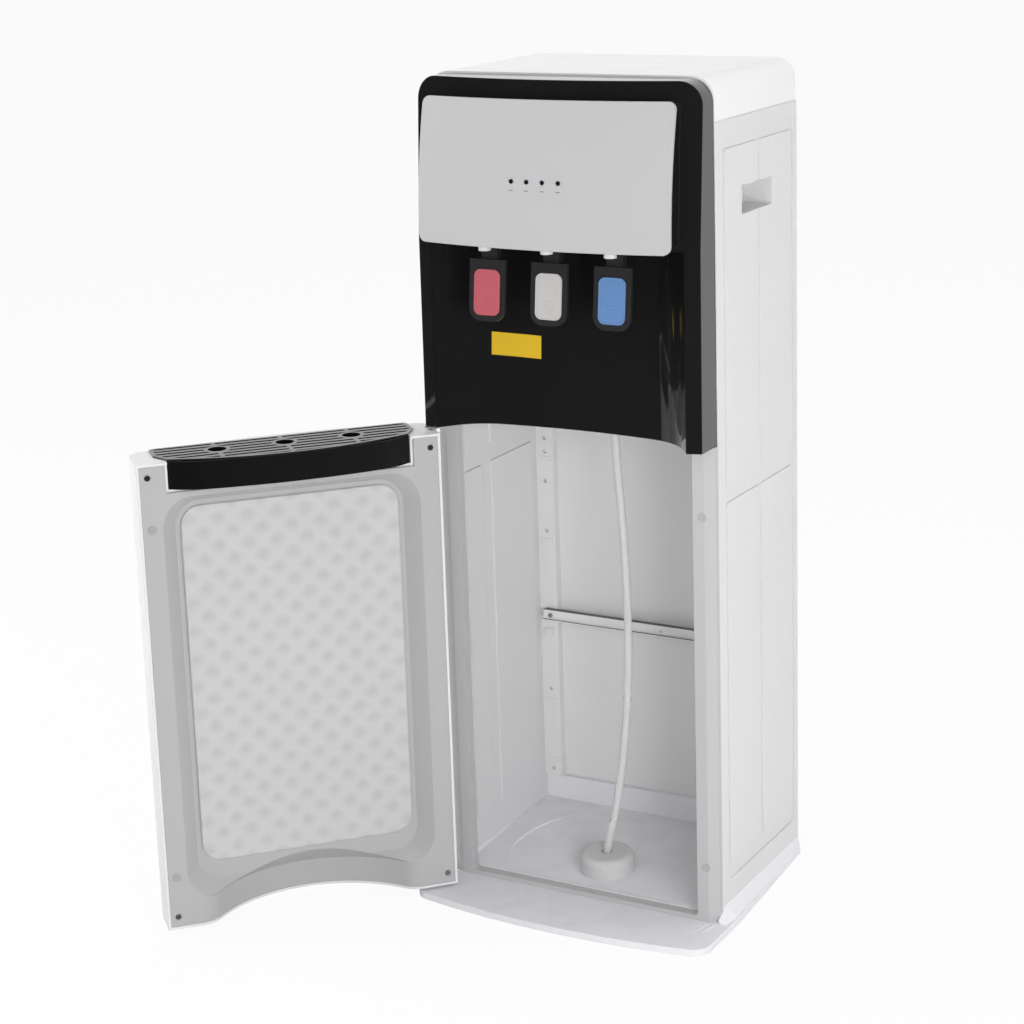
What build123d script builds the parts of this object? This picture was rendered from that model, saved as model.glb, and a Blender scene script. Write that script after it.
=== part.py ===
from build123d import *
import math
import os

# Bottom load water cooler, millimetres.
# +Z is up, the front faces -Y, the origin is on the floor under the middle of the cabinet.
# The door is drawn shut and then swung open about its hinge pins, as the rest pose shows it.

# ---- Driving dimensions -------------------------------------------------------------------

# Cabinet
body_width = 350.0
body_depth = 224.0
overall_height = 970.0
cover_height = 48.0
base_seam_height = 22.0
side_panel_thickness = 10.0
fit_gap = 0.3            # between curved or loose neighbours
running_fit = 0.05       # radial, pins in their bores
cut_over = 1.0           # how far a cutting tool stands out of the piece it cuts
seam_chamfer = 1.0       # along the seam between the cover and the side panels

# Base tray
apron_thickness = 7.0
apron_reach = 83.0       # from the cabinet front to the corners of the apron
apron_bow = 19.0
apron_corner_radius = 22.0
apron_edge_bevel = 1.5
rear_flange = 3.0
front_flange = 15.0
flare_start = 12.0       # behind the cabinet front, where the flange is widest
floor_front_height = 13.0
floor_rear_height = 26.0
seat_radius = 136.0      # shallow ring that centres the bottle
seat_depth = 2.0
seat_centre_y = -33.0
seat_front_margin = 4.0
upstand_height = 53.0
upstand_thickness = 7.0
apron_rib_length = 24.0
apron_rib_width = 2.4
apron_rib_height = 1.6
apron_rib_pitch = 8.0
apron_rib_turn = 15.0    # degrees
apron_rib_x = 161.0
apron_rib_y = -140.5

# Front frame round the bottle opening
frame_depth = 12.5
jamb_width = 26.0
jamb_bevel = 12.0
jamb_bevel_depth = 5.5
sill_top = 12.5
sill_corner_radius = 5.0

# Side panel pressings
recess_front_margin = 20.0
recess_rear_margin = 10.0
recess_bottom = 48.0
recess_top_margin = 18.0   # below the seam of the cover
recess_depth = 2.0
recess_corner_radius = 9.0
plate_margin = 4.0
plate_round = 5.0
plate_rise = 1.5
plate_row_drop = 73.0      # middle of the gap between the rows, below the deck
plate_row_gap = 19.0
plate_column_gap = 5.0
plate_lower_margin = 20.0
plate_upper_margin = 14.0
liner_rise = 2.2
liner_round = 4.0
liner_margin = 27.0
liner_column_split = 40.0
liner_column_gap = 22.0
liner_bottom = 60.0
liner_top_margin = 12.0

# Side handles
handle_length = 83.0
handle_height = 33.0
handle_drop = 92.0         # middle of the handle below the seam of the cover
handle_depth = 26.0
handle_wall = 1.5
handle_corner_radius = 3.0
handle_wave = 2.4          # how far the two finger waves hang below the corners

# Rear of the bottle compartment
liner_wall_thickness = 3.0
back_sheet_thickness = 1.2
liner_wall_inset = 9.0   # front face of the inner rear wall, from the back of the cabinet
post_width = 24.0
post_depth = 11.0
post_hole_radius = 2.6
post_hole_heights = (63.0, 171.0, 380.0, 444.0, 482.0, 499.0)
post_clip_heights = (72.0, 152.0, 364.0, 470.0)
post_clip_height = 6.0
post_clip_rise = 1.6
post_clip_width = 16.0
post_block_height = 243.0
post_block_width = 12.0
post_block_tall = 9.0
post_block_rise = 3.0
post_hole_depth = 4.0
brace_centre_z = 272.0
brace_height = 13.0
brace_depth = 8.0
brace_sheet = 1.5
brace_lip = 3.0            # ledge along the foot of the channel
brace_lip_rise = 1.2
brace_end_gap = 8.0
brace_hole_x = 6.0
brace_hole_radius = 2.0
brace_screw_radius = 2.8
brace_screw_inset = 10.0
brace_screw_head = 1.6
brace_foot_width = 14.0

# Machine deck above the bottle
deck_rise = 11.0           # underside of the deck above the foot of the bezel
deck_thickness = 4.0

# Moulded lid
cover_edge_radius = 24.0
cover_rear_radius = 5.0
cover_wall = 3.0

# Black front bezel
bezel_bottom = 569.0
bezel_top_gap = 2.0        # below the top of the cover
bezel_side_gap = 1.0
bezel_corner_radius = 26.0
bezel_wall = 3.0
bezel_bow = 26.0
bezel_knee_height = 788.0
bezel_reach_bottom = 39.0     # ends of the front face ahead of the cabinet front
bezel_reach_knee = 37.0
bezel_reach_top = 25.0
alcove_side_margin = 17.0     # side of the hollow from the side of the bezel
alcove_wall = 3.0
alcove_mouth_reach = 42.0     # corners of the hollow ahead of the cabinet front
alcove_knee_inset = 15.0      # from the side of the hollow
alcove_knee_y = -135.5
alcove_bend_inset = 33.0
alcove_bend_y = -121.0
alcove_near_inset = 62.0
alcove_near_y = -111.5
alcove_back_y = -105.5
clear_reach = 120.0           # beyond everything that stands ahead of the cabinet

# Console on the bezel, which leans back in an arc, and its silver control plate
console_foot_reach = 61.1     # ends of its face ahead of the cabinet front, at the foot
console_lean = 20.2           # how far the top of the face lies behind the foot
console_bow = 20.8
console_inset = 3.0
console_stations = 7
console_overrun = 8.0         # how far its face is drawn past the plate
plate_height = 159.0
plate_top_margin = 20.0       # below the top of the bezel
plate_side_margin = 20.0
plate_thickness = 3.0
plate_corner_radius = 9.0

# Indicators, nozzles and paddles
led_rise = 73.0               # above the foot of the plate
led_spacing = 19.0
led_count = 4
led_radius = 2.4
led_stand = 0.6
label_width = 60.5
label_height = 26.7
label_centre_x = -74.3
label_centre_z = 662.7
label_turn = 2.0              # degrees
label_thickness = 0.4
label_glue = 0.05
tap_spacing = 77.3
nozzle_y = -169.0
nozzle_drop = 8.0             # tip below the ceiling of the hollow
nozzle_outer_radius = 7.0
nozzle_bore_radius = 3.5
nozzle_stub_height = 21.0
nozzle_collar_radius = 10.0
nozzle_collar_thickness = 3.0
nozzle_head_wall = 1.0
nozzle_bore_above = 4.0
paddle_lean = 6.3             # degrees, foot forward, turned about the rod
paddle_front_y = -160.1
paddle_width = 44.8
paddle_head_drop = 20.2       # top of the plate below the ceiling of the hollow
paddle_height = 68.9
paddle_thickness = 4.0
paddle_corner_radius = 15.0
inset_width = 32.6
inset_height = 51.0
inset_drop = 36.7             # middle of the inset below the top of the paddle
inset_rise = 1.4
inset_sink = 1.5
inset_corner_radius = 8.0
neck_width = 20.0
neck_depth = 8.0
neck_foot_drop = 40.0
pivot_y = -151.0
pivot_rise = 11.0             # above the ceiling of the hollow
pivot_radius = 2.5
pivot_eye_radius = 6.0
neck_slot_clearance = 4.0
eye_clearance = 0.5

# Door
door_gap = 2.5           # between the shut door and the front frame
door_side_gap = 1.0
door_bottom = 10.0
door_head_gap = 4.0      # below the foot of the bezel
door_edge_depth = 57.0
door_bow = 18.0
door_corner_radius = 18.0
door_wall = 3.0
door_open_angle = 133.0
hinge_inset = 5.0        # hinge axis from the edge of the door
hinge_back = 23.0        # hinge axis from the inner face of the door
hinge_pin_radius = 2.5
hinge_pin_length = 20.0
hinge_boss_radius = 4.4
hinge_bore_depth = 20.5
hinge_plate_thickness = 2.0
hinge_plate_reach = 5.0  # ahead of the hinge axis
hinge_plate_margin = 1.0
quilt_recess_depth = 19.0
quilt_side_margin = 48.0
quilt_bottom = 80.0
quilt_top_drop = 25.0    # below the pocket of the drip tray
quilt_corner_radius = 24.0
quilt_thickness = 3.0
quilt_surround = 6.0
quilt_foot_surround = 23.0
recess_lip_width = 16.0  # slope beside the floor of the recess
recess_lip_head = 10.0
recess_lip_foot = 14.0
recess_lip_round = 36.0
scoop_radius = 150.0
scoop_centre_y = -36.0
scoop_height = 34.5
scoop_fade_height = 29.0
scoop_ledge = 0.5        # step between the drum and the cone above it
scoop_end_round = 30.0
screw_head_radius = 3.3
screw_head_height = 1.1
screw_slot_width = 0.9
screw_slot_reach = 2.3
screw_slot_depth = 0.6
screw_inset_x = 12.0
screw_inset_z = 15.5
catch_radius = 5.0
catch_rise = 0.6
catch_inset_x = 13.5
catch_height = 74.0
catch_drop = 75.5        # upper catch below the top of the door

# Drip tray and grille
tray_side_margin = 36.0  # from the side of the door
tray_depth_height = 32.0
tray_wall = 2.5
tray_far_y = -184.0
tray_near_y = -108.0     # middle of its near edge
tray_shoulder_inset = 40.0
tray_shoulder_y = -115.5
tray_bend_inset = 18.0
tray_bend_y = -121.5
tray_end_y = -132.5
tray_clearance = 1.0
pocket_wall = 3.0
grille_thickness = 2.0
grille_overhang = 12.0   # beyond the sides of the bowl
grille_far_y = -187.5
grille_far_cut = 4.0
grille_cut_y = -155.0
grille_end_y = -133.5
grille_near_y = -107.0
grille_rim = 4.0
grille_bar_pitch = 11.6
grille_slot_width = 5.0
grille_rows = 7
grille_spoke_width = 5.0
grille_hole_radius = 10.5
grille_ring_radius = 15.0
grille_hole_y = -156.0

# Supply hose and bottle cap
hose_diameter = 9.5
gland_radius = 11.0
gland_length = 14.0
gland_flange_radius = 16.0
gland_flange_thickness = 3.0
cap_radius = 33.0
cap_height = 23.0
cap_wall = 2.5
cap_edge_radius = 8.0
cap_hole_radius = 6.6
collar_radius = 9.0
collar_height = 8.0
cap_x = -1.5
cap_y = -56.5
hose_x = 11.0            # where it leaves the gland
hose_y = -37.0
hose_gland_drop = 10.0   # below the underside of the deck
hose_first_run = 42.0
hose_last_run = 14.0
hose_bend_share = 0.45   # of the shorter run at a bend that its arc takes up
hose_stations = (        # side, depth and share of the height between the two end runs
    (20.5, -41.0, 0.832),
    (27.0, -45.0, 0.640),
    (28.0, -48.5, 0.450),
    (22.5, -52.0, 0.266),
    (10.5, -55.0, 0.096),
)

# Machinery above the deck
cold_tank_radius = 56.0
cold_tank_drop = 41.0    # its top below the pipes of the taps
cold_tank_x = 92.0
cold_jacket_thickness = 10.0
hot_tank_radius = 44.0
hot_tank_height = 140.0
hot_tank_x = -88.0
tank_shelf_gap = 8.0     # above the compressor
tank_shelf_sheet = 2.0
tank_foot = 10.0
compressor_radius = 50.0
compressor_height = 112.0
compressor_foot = 8.0
compressor_foot_width = 92.0
compressor_foot_depth = 24.0
compressor_dome_radius = 14.0
tank_dome_radius = 12.0
tank_foot_radius = 22.0
tank_sheet = 1.5
tank_drain_radius = 4.0
shelf_flange = 30.0
pump_width = 42.0
pump_length = 66.0
pump_height = 40.0
pump_front_y = 0.0
pump_corner_radius = 5.0
pump_inlet_y = 16.0
pump_outlet_y = 56.0
pump_outlet_x = -10.0
condenser_width = 150.0
condenser_rise = 16.0
condenser_height = 170.0
condenser_depth = 20.0
condenser_fins = 12
condenser_fin = 2.0
condenser_fin_reach = 7.0
condenser_back_gap = 8.0
condenser_foot_width = 10.0
pipe_radius = 4.0
pipe_bend_radius = 9.0
cold_drop_y = -30.0
feed_pipe_rise = 58.0
delivery_pipe_rise = 88.0
link_pipe_rise = 168.0
board_half_width = 60.0
board_height = 44.0
board_thickness = 1.6
board_y = -174.5
board_post_radius = 3.0
board_post_inset = 5.0
led_clearance = 0.1
carrier_cheek = 3.0
carrier_gap = 1.5
carrier_height = 14.0
carrier_strip = 3.0
carrier_strip_gap = 1.0
switch_width = 12.0
switch_depth = 7.0
switch_height = 13.0

# Rear fittings
vent_rows = 12
vent_pitch = 13.0
vent_slot = 4.0
vent_slot_round = 1.9
vent_length = 200.0
vent_rise = 36.0
rocker_width = 20.0
rocker_radius = 7.4
rocker_spacing = 34.0
rocker_drop = 70.0       # below the seam of the cover
rocker_tilt = 9.0        # degrees
rocker_valley = 5.0
rocker_clearance = 0.5
rocker_axle_radius = 1.5
rocker_axle_length = 2.0
rocker_axle_play = 0.5
switch_plate_width = 98.0
switch_plate_height = 100.0
switch_plate_thickness = 3.0
switch_plate_drop = 94.0
switch_plate_lap = 6.0
housing_depth = 14.0
housing_wall = 2.5
inlet_drop = 118.0
inlet_width = 27.0
inlet_height = 19.5
inlet_depth = 16.0
inlet_wall = 2.0
blade_width = 6.2
blade_thickness = 2.0
blade_spacing = 7.0
blade_offset = 2.0
blade_sink = 2.0
drain_rise = 18.0
drain_x = -120.0
drain_radius = 9.0
drain_stem_length = 20.0
drain_knob_radius = 13.0
drain_knob_depth = 12.0

# ---- Places worked out from the sizes ----------------------------------------------------------

half_width = body_width / 2
front_y = -body_depth / 2
back_y = body_depth / 2
inner_x = half_width - side_panel_thickness
frame_front_y = front_y - frame_depth
rear_wall_y = back_y - liner_wall_inset
door_inner_y = frame_front_y - door_gap
door_end_y = door_inner_y - door_edge_depth
upstand_y = rear_wall_y - upstand_thickness
floor_slope = math.degrees(math.atan2(floor_rear_height - floor_front_height, upstand_y - front_y))
ahead_y = front_y - clear_reach

# Heights, from the top of the cabinet down to the hollow
cover_seam_height = overall_height - cover_height
recess_top = cover_seam_height - recess_top_margin
handle_centre_z = cover_seam_height - handle_drop
rocker_centre_z = cover_seam_height - rocker_drop
switch_plate_centre_z = cover_seam_height - switch_plate_drop
inlet_centre_z = cover_seam_height - inlet_drop
bezel_top = overall_height - bezel_top_gap
plate_top = bezel_top - plate_top_margin
plate_bottom = plate_top - plate_height
led_height = plate_bottom + led_rise
alcove_top = plate_bottom
ceiling_top = plate_bottom + console_inset + bezel_wall
nozzle_tip = alcove_top - nozzle_drop
nozzle_top = ceiling_top + nozzle_stub_height
tap_pipe_height = nozzle_top + nozzle_head_wall + pipe_radius
pivot_z = alcove_top + pivot_rise
paddle_top = alcove_top - paddle_head_drop
paddle_bottom = paddle_top - paddle_height
inset_centre_z = paddle_top - inset_drop
carrier_top = ceiling_top + carrier_height

# Heights round the deck and the door
deck_underside = bezel_bottom + deck_rise
deck_top = deck_underside + deck_thickness
plate_row_split = deck_underside - plate_row_drop
liner_top = deck_underside - liner_top_margin
door_top = bezel_bottom - door_head_gap
tray_bottom = door_top - tray_depth_height
quilt_top = tray_bottom - quilt_top_drop
catch_heights = (catch_height, door_top - catch_drop)
tank_shelf_height = deck_top + compressor_foot + compressor_height + tank_shelf_gap
condenser_bottom = deck_top + condenser_rise
feed_pipe_height = deck_top + feed_pipe_rise
delivery_pipe_height = deck_top + delivery_pipe_rise
link_pipe_height = deck_top + link_pipe_rise
cold_tank_top = tap_pipe_height - cold_tank_drop
vent_bottom = deck_top + vent_rise
drain_centre_z = deck_top + drain_rise
gland_top_z = deck_top + gland_length

# Widths of the front
bezel_width = body_width - 2 * bezel_side_gap
alcove_half_width = bezel_width / 2 - alcove_side_margin
plate_half_width = bezel_width / 2 - plate_side_margin
door_width = body_width - 2 * door_side_gap
quilt_half_width = door_width / 2 - quilt_side_margin
tray_half_width = door_width / 2 - tray_side_margin
grille_half_width = tray_half_width + grille_overhang

# Depths
hinge_x = -door_width / 2 + hinge_inset
hinge_y = door_inner_y - hinge_back
quilt_plane_y = door_inner_y - quilt_recess_depth
neck_rear_y = pivot_y + neck_depth / 2
switch_front_y = neck_rear_y + neck_slot_clearance + carrier_strip_gap
carrier_half = tap_spacing + neck_width / 2 + carrier_gap + carrier_cheek
jacket_radius = cold_tank_radius + cold_jacket_thickness
floor_at_cap = (
    floor_front_height + (cap_y - front_y) * math.tan(math.radians(floor_slope))
    - seat_depth / math.cos(math.radians(floor_slope))
)
tap_positions = (-tap_spacing, 0.0, tap_spacing)
tap_names = ("hot", "room", "cold")


# ---- Small helpers -----------------------------------------------------------------------------

def block(x0, x1, y0, y1, z0, z1):
    """A box between two corners."""
    centre = Pos((x0 + x1) / 2, (y0 + y1) / 2, (z0 + z1) / 2)
    return centre * Box(x1 - x0, y1 - y0, z1 - z0)


def upright(x, y, z0, z1, radius):
    """A vertical cylinder."""
    return Pos(x, y, (z0 + z1) / 2) * Cylinder(radius, z1 - z0)


def along_y(x, z, y0, y1, radius):
    """A cylinder that runs front to back."""
    return Pos(x, (y0 + y1) / 2, z) * Rot(90, 0, 0) * Cylinder(radius, y1 - y0)


def along_x(y, z, x0, x1, radius):
    """A cylinder that runs side to side."""
    return Pos((x0 + x1) / 2, y, z) * Rot(0, 90, 0) * Cylinder(radius, x1 - x0)


def front_plate(width, height, radius, x, z, y0, y1):
    """A plate seen from the front as a rectangle with round corners, between two depths."""
    outline = Plane.XZ * RectangleRounded(width, height, radius)
    solid = extrude(outline, (y1 - y0) / 2, both=True)
    return Pos(x, (y0 + y1) / 2, z) * solid


def side_plate(depth, height, radius, y, z, x0, x1):
    """A plate seen from the side as a rectangle with round corners, between two widths."""
    outline = Plane.YZ * RectangleRounded(depth, height, radius)
    solid = extrude(outline, (x1 - x0) / 2, both=True)
    return Pos((x0 + x1) / 2, y, z) * solid


def bowed_face(half, end_y, bow, rear_y, z):
    """A plan section whose front edge is one arc, from end_y at the sides to end_y - bow."""
    outline = [
        Line((half, end_y, z), (half, rear_y, z)),
        Line((half, rear_y, z), (-half, rear_y, z)),
        Line((-half, rear_y, z), (-half, end_y, z)),
        ThreePointArc((-half, end_y, z), (0, end_y - bow, z), (half, end_y, z)),
    ]
    return make_face(outline)


def swing_open(shape):
    """Turn a piece of the shut door about the hinge pins into the open rest pose."""
    return Pos(hinge_x, hinge_y, 0) * Rot(0, 0, -door_open_angle) * Pos(-hinge_x, -hinge_y, 0) * shape


# ---- Base and frame ----------------------------------------------------------------------------

def base_outline(z):
    """The plan of the base: straight at the back, flared sides and a bowed apron."""
    rear_half = half_width + rear_flange
    wide_half = half_width + front_flange
    rear_y = back_y
    wide_y = front_y + flare_start
    corner_y = front_y - apron_reach
    outline = [
        Line((-rear_half, rear_y, z), (rear_half, rear_y, z)),
        Line((rear_half, rear_y, z), (wide_half, wide_y, z)),
        Line((wide_half, wide_y, z), (wide_half, corner_y, z)),
        ThreePointArc((wide_half, corner_y, z), (0, corner_y - apron_bow, z), (-wide_half, corner_y, z)),
        Line((-wide_half, corner_y, z), (-wide_half, wide_y, z)),
        Line((-wide_half, wide_y, z), (-rear_half, rear_y, z)),
    ]
    return make_face(outline)


def side_skirt(side):
    """The slope from the foot of a side panel down to the edge of the flange."""
    sections = []
    for y, flange in ((back_y, rear_flange), (front_y + flare_start, front_flange), (frame_front_y, front_flange)):
        top = base_seam_height if y > frame_front_y else apron_thickness + jamb_bevel_depth
        inner = (side * (half_width - side_panel_thickness), y, 0)
        points = [
            inner,
            (side * (half_width + flange), y, 0),
            (side * (half_width + flange), y, apron_thickness / 2),
            (side * half_width, y, top),
            (inner[0], y, top),
        ]
        sections.append(make_face(Polyline(*points, close=True)))
    return loft(sections, ruled=True)


def base_tray():
    """Moulded base: floor of the bottle compartment, plinth and front apron."""
    plate = extrude(base_outline(0), apron_thickness, dir=(0, 0, 1))
    corners = plate.edges().filter_by(Axis.Z).group_by(Axis.Y)[0]
    plate = fillet(corners, apron_corner_radius)
    top_edges = plate.edges().group_by(Axis.Z)[-1]
    plate = chamfer(top_edges, apron_edge_bevel)
    body = plate + block(-half_width, half_width, front_y, back_y, 0, base_seam_height)
    skirts = side_skirt(1) + side_skirt(-1)
    jamb_room = block(-half_width, half_width, frame_front_y - cut_over, front_y, apron_thickness, base_seam_height)
    body = body + (skirts - jamb_room)
    rear_lip = block(-inner_x, inner_x, upstand_y, rear_wall_y, 0, upstand_height)
    body = body + rear_lip
    return cut_floor(body)


def cut_floor(body):
    """Cut the sloping floor and the bottle seat, and add the two ribs on the apron."""
    wedge = make_face(Polyline(
        (0, front_y, floor_front_height),
        (0, upstand_y, floor_rear_height),
        (0, upstand_y, upstand_height + cut_over),
        (0, front_y, upstand_height + cut_over),
        close=True,
    ))
    body = body - extrude(wedge, inner_x, both=True)
    middle_z = floor_front_height + (seat_centre_y - front_y) * math.tan(math.radians(floor_slope))
    seat = Pos(0, seat_centre_y, middle_z) * Rot(floor_slope, 0, 0) * Cylinder(seat_radius, 2 * seat_depth)
    seat = seat & block(-inner_x, inner_x, front_y + seat_front_margin, upstand_y, 0, upstand_height)
    body = body - seat
    for number in range(2):
        x = apron_rib_x + number * apron_rib_pitch
        middle = Pos(x, apron_rib_y, apron_thickness) * Rot(0, 0, -apron_rib_turn)
        body = body + middle * Box(apron_rib_width, apron_rib_length, apron_rib_height)
    return body


def front_frame():
    """White frame round the bottle opening: two jambs with a bevel, and a low sill."""
    body = block(-half_width, half_width, frame_front_y, front_y, apron_thickness, bezel_bottom)
    opening_half = half_width - jamb_width
    opening = front_plate(
        2 * opening_half, 2 * (bezel_bottom - sill_top), sill_corner_radius, 0, bezel_bottom,
        frame_front_y - cut_over, front_y + cut_over,
    )
    body = body - opening
    for side in (-1, 1):
        bevel = make_face(Polyline(
            (side * (half_width - jamb_bevel), frame_front_y, 0),
            (side * (half_width + cut_over), frame_front_y, 0),
            (side * (half_width + cut_over), frame_front_y + jamb_bevel_depth, 0),
            (side * half_width, frame_front_y + jamb_bevel_depth, 0),
            close=True,
        ))
        body = body - extrude(bevel, overall_height, dir=(0, 0, 1))
    return body


def frame_catches():
    """Round catch plates let into the right jamb."""
    x = half_width - catch_inset_x - door_side_gap
    discs = [along_y(x, z, frame_front_y - catch_rise, frame_front_y, catch_radius) for z in catch_heights]
    return Compound(discs)


# ---- Cabinet walls -----------------------------------------------------------------------------

def pressed_plates(x0, x1):
    """The four raised fields of a side panel, between two widths."""
    recess_front = front_y + recess_front_margin
    recess_back = back_y - recess_rear_margin
    column_middle = (recess_front + recess_back) / 2
    columns = (
        (recess_front + plate_margin, column_middle - plate_column_gap / 2),
        (column_middle + plate_column_gap / 2, recess_back - plate_margin),
    )
    rows = (
        (recess_bottom + plate_lower_margin, plate_row_split - plate_row_gap / 2),
        (plate_row_split + plate_row_gap / 2, recess_top - plate_upper_margin),
    )
    plates = []
    for y0, y1 in columns:
        for z0, z1 in rows:
            plate = side_plate(y1 - y0, z1 - z0, plate_round, (y0 + y1) / 2, (z0 + z1) / 2, x0, x1)
            plates.append(plate)
    return plates


def seam_chamfered(body):
    """Bevel the two outer long edges of a piece at the seam of the cover."""
    edges = body.edges().filter_by(Axis.Y).filter_by(
        lambda e: abs(e.center().Z - cover_seam_height) < fit_gap and half_width - abs(e.center().X) < fit_gap
    )
    return chamfer(edges, seam_chamfer)


def handle_hole(side):
    """Room of a handle through a side panel: square below, with two finger waves along its top."""
    half = handle_length / 2
    x = side * inner_x - side * cut_over
    low = handle_centre_z - handle_height / 2
    high = handle_centre_z + handle_height / 2
    drops = (0.0, handle_wave, handle_wave / 2, handle_wave, 0.0)
    crest = []
    for number, drop in enumerate(drops):
        crest.append((x, -half + number * handle_length / (len(drops) - 1), high - drop))
    outline = [
        Line((x, half, high), (x, half, low)),
        Line((x, half, low), (x, -half, low)),
        Line((x, -half, low), (x, -half, high)),
        Spline(*crest),
    ]
    depth = side_panel_thickness + 2 * cut_over
    hole = extrude(make_face(outline), depth, dir=(side, 0, 0))
    foot = hole.edges().filter_by(Axis.X).group_by(Axis.Z)[0]
    return fillet(foot, handle_corner_radius)


def liner_fields(side):
    """The four raised fields on the inner face of a side panel."""
    inner = side * inner_x
    face = inner - side * liner_rise
    field_front = front_y + liner_margin
    field_back = rear_wall_y - post_depth - liner_margin / 2
    split = field_front + liner_column_split + liner_column_gap
    columns = ((field_front, split - liner_column_gap), (split, field_back))
    half_gap = plate_row_gap / 2
    rows = ((liner_bottom, plate_row_split - half_gap), (plate_row_split + half_gap, liner_top))
    fields = []
    for y0, y1 in columns:
        for z0, z1 in rows:
            field = side_plate(
                y1 - y0, z1 - z0, liner_round, (y0 + y1) / 2, (z0 + z1) / 2, min(inner, face), max(inner, face)
            )
            fields.append(field)
    return fields


def side_panel(side):
    """Side panel: pressed fields outside, a handle hole, raised fields inside."""
    outer = side * half_width
    inner = side * inner_x
    body = block(min(outer, inner), max(outer, inner), front_y, back_y, base_seam_height, cover_seam_height)
    body = seam_chamfered(body)
    recess_front = front_y + recess_front_margin
    recess_back = back_y - recess_rear_margin
    floor = outer - side * recess_depth
    beyond = outer + side * cut_over
    recess = side_plate(
        recess_back - recess_front, recess_top - recess_bottom, recess_corner_radius,
        (recess_front + recess_back) / 2, (recess_top + recess_bottom) / 2, min(beyond, floor), max(beyond, floor),
    )
    body = body - recess
    raised = floor + side * plate_rise
    for plate in pressed_plates(min(floor, raised), max(floor, raised)):
        body = body + plate
    body = body - handle_hole(side)
    for field in liner_fields(side):
        body = body + field
    return body


def handle_cup(side):
    """Closed cup behind the handle hole of a side panel."""
    inner = side * inner_x
    back = inner - side * handle_depth
    outer = side_plate(
        handle_length + 2 * handle_wall, handle_height + 2 * handle_wall, handle_corner_radius + handle_wall,
        0, handle_centre_z, min(inner, back), max(inner, back),
    )
    mouth = inner + side * cut_over
    deep = back + side * handle_wall
    room = side_plate(
        handle_length, handle_height, handle_corner_radius, 0, handle_centre_z, min(mouth, deep), max(mouth, deep)
    )
    return outer - room


def rear_liner():
    """Flat rear wall of the bottle compartment."""
    return block(
        -inner_x, inner_x, rear_wall_y, rear_wall_y + liner_wall_thickness, base_seam_height, deck_underside
    )


def corner_post(side):
    """Moulded post in a rear corner, with a row of holes and cable clips."""
    outer = side * inner_x
    inner = side * (inner_x - post_width)
    low, high = min(outer, inner), max(outer, inner)
    face_y = rear_wall_y - post_depth
    body = block(low, high, face_y, rear_wall_y, upstand_height, deck_underside)
    middle = (low + high) / 2
    for z in post_clip_heights:
        half = post_clip_width / 2
        body = body + block(middle - half, middle + half, face_y - post_clip_rise, face_y, z, z + post_clip_height)
    half = post_block_width / 2
    block_top = post_block_height + post_block_tall
    body = body + block(middle - half, middle + half, face_y - post_block_rise, face_y, post_block_height, block_top)
    for z in post_hole_heights:
        body = body - along_y(middle, z, face_y - cut_over, face_y + post_hole_depth, post_hole_radius)
    return body


def rear_brace():
    """Painted sheet channel across the two rear posts, with a ledge along its foot."""
    face_y = rear_wall_y - post_depth
    front = face_y - brace_depth
    half = inner_x - brace_end_gap
    z0 = brace_centre_z - brace_height / 2
    z1 = brace_centre_z + brace_height / 2
    body = block(-half, half, front, face_y, z0, z1)
    room = block(
        -half - cut_over, half + cut_over, front + brace_sheet, face_y + cut_over, z0 + brace_sheet, z1 - brace_sheet
    )
    body = body - room + block(-half, half, front - brace_lip, front, z0, z0 + brace_lip_rise)
    for side in (-1, 1):
        x = side * (half - brace_screw_inset)
        reach = brace_foot_width / 2
        foot = block(x - reach, x + reach, front + brace_sheet, face_y, z0 + brace_sheet, z1 - brace_sheet)
        body = body + foot
    return body - along_y(brace_hole_x, brace_centre_z, front - cut_over, front + brace_sheet, brace_hole_radius)


def brace_screws():
    """Pan head screws that hold the brace to the posts."""
    face_y = rear_wall_y - post_depth - brace_depth
    half = inner_x - brace_end_gap
    heads = []
    for side in (-1, 1):
        x = side * (half - brace_screw_inset)
        heads.append(along_y(x, brace_centre_z, face_y - brace_screw_head, face_y, brace_screw_radius))
    return Compound(heads)


def machine_deck():
    """Steel deck that closes the bottle compartment and carries the machinery."""
    rear_y = rear_wall_y + liner_wall_thickness
    body = block(-inner_x, inner_x, front_y, rear_y, deck_underside, deck_top)
    body = body - alcove_room(alcove_wall + fit_gap, ahead_y, deck_underside - cut_over, deck_top + cut_over)
    x, y = hose_points[0][0], hose_points[0][1]
    return body - upright(x, y, deck_underside - cut_over, deck_top + cut_over, gland_radius + running_fit)


def back_sheet():
    """Painted steel back of the cabinet, with rows of vent slots and openings for the fittings."""
    y0 = back_y - back_sheet_thickness
    y1 = back_y + cut_over
    body = block(-inner_x, inner_x, y0, back_y, base_seam_height, cover_seam_height)
    for row in range(vent_rows):
        z = vent_bottom + row * vent_pitch
        body = body - front_plate(vent_length, vent_slot, vent_slot_round, 0, z, y0 - cut_over, y1)
    half = switch_plate_width / 2 - switch_plate_lap
    low = switch_plate_centre_z - switch_plate_height / 2 + switch_plate_lap
    high = switch_plate_centre_z + switch_plate_height / 2 - switch_plate_lap
    body = body - block(-half, half, y0 - cut_over, y1, low, high)
    return body - along_y(drain_x, drain_centre_z, y0 - cut_over, y1, drain_radius + fit_gap)


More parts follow.
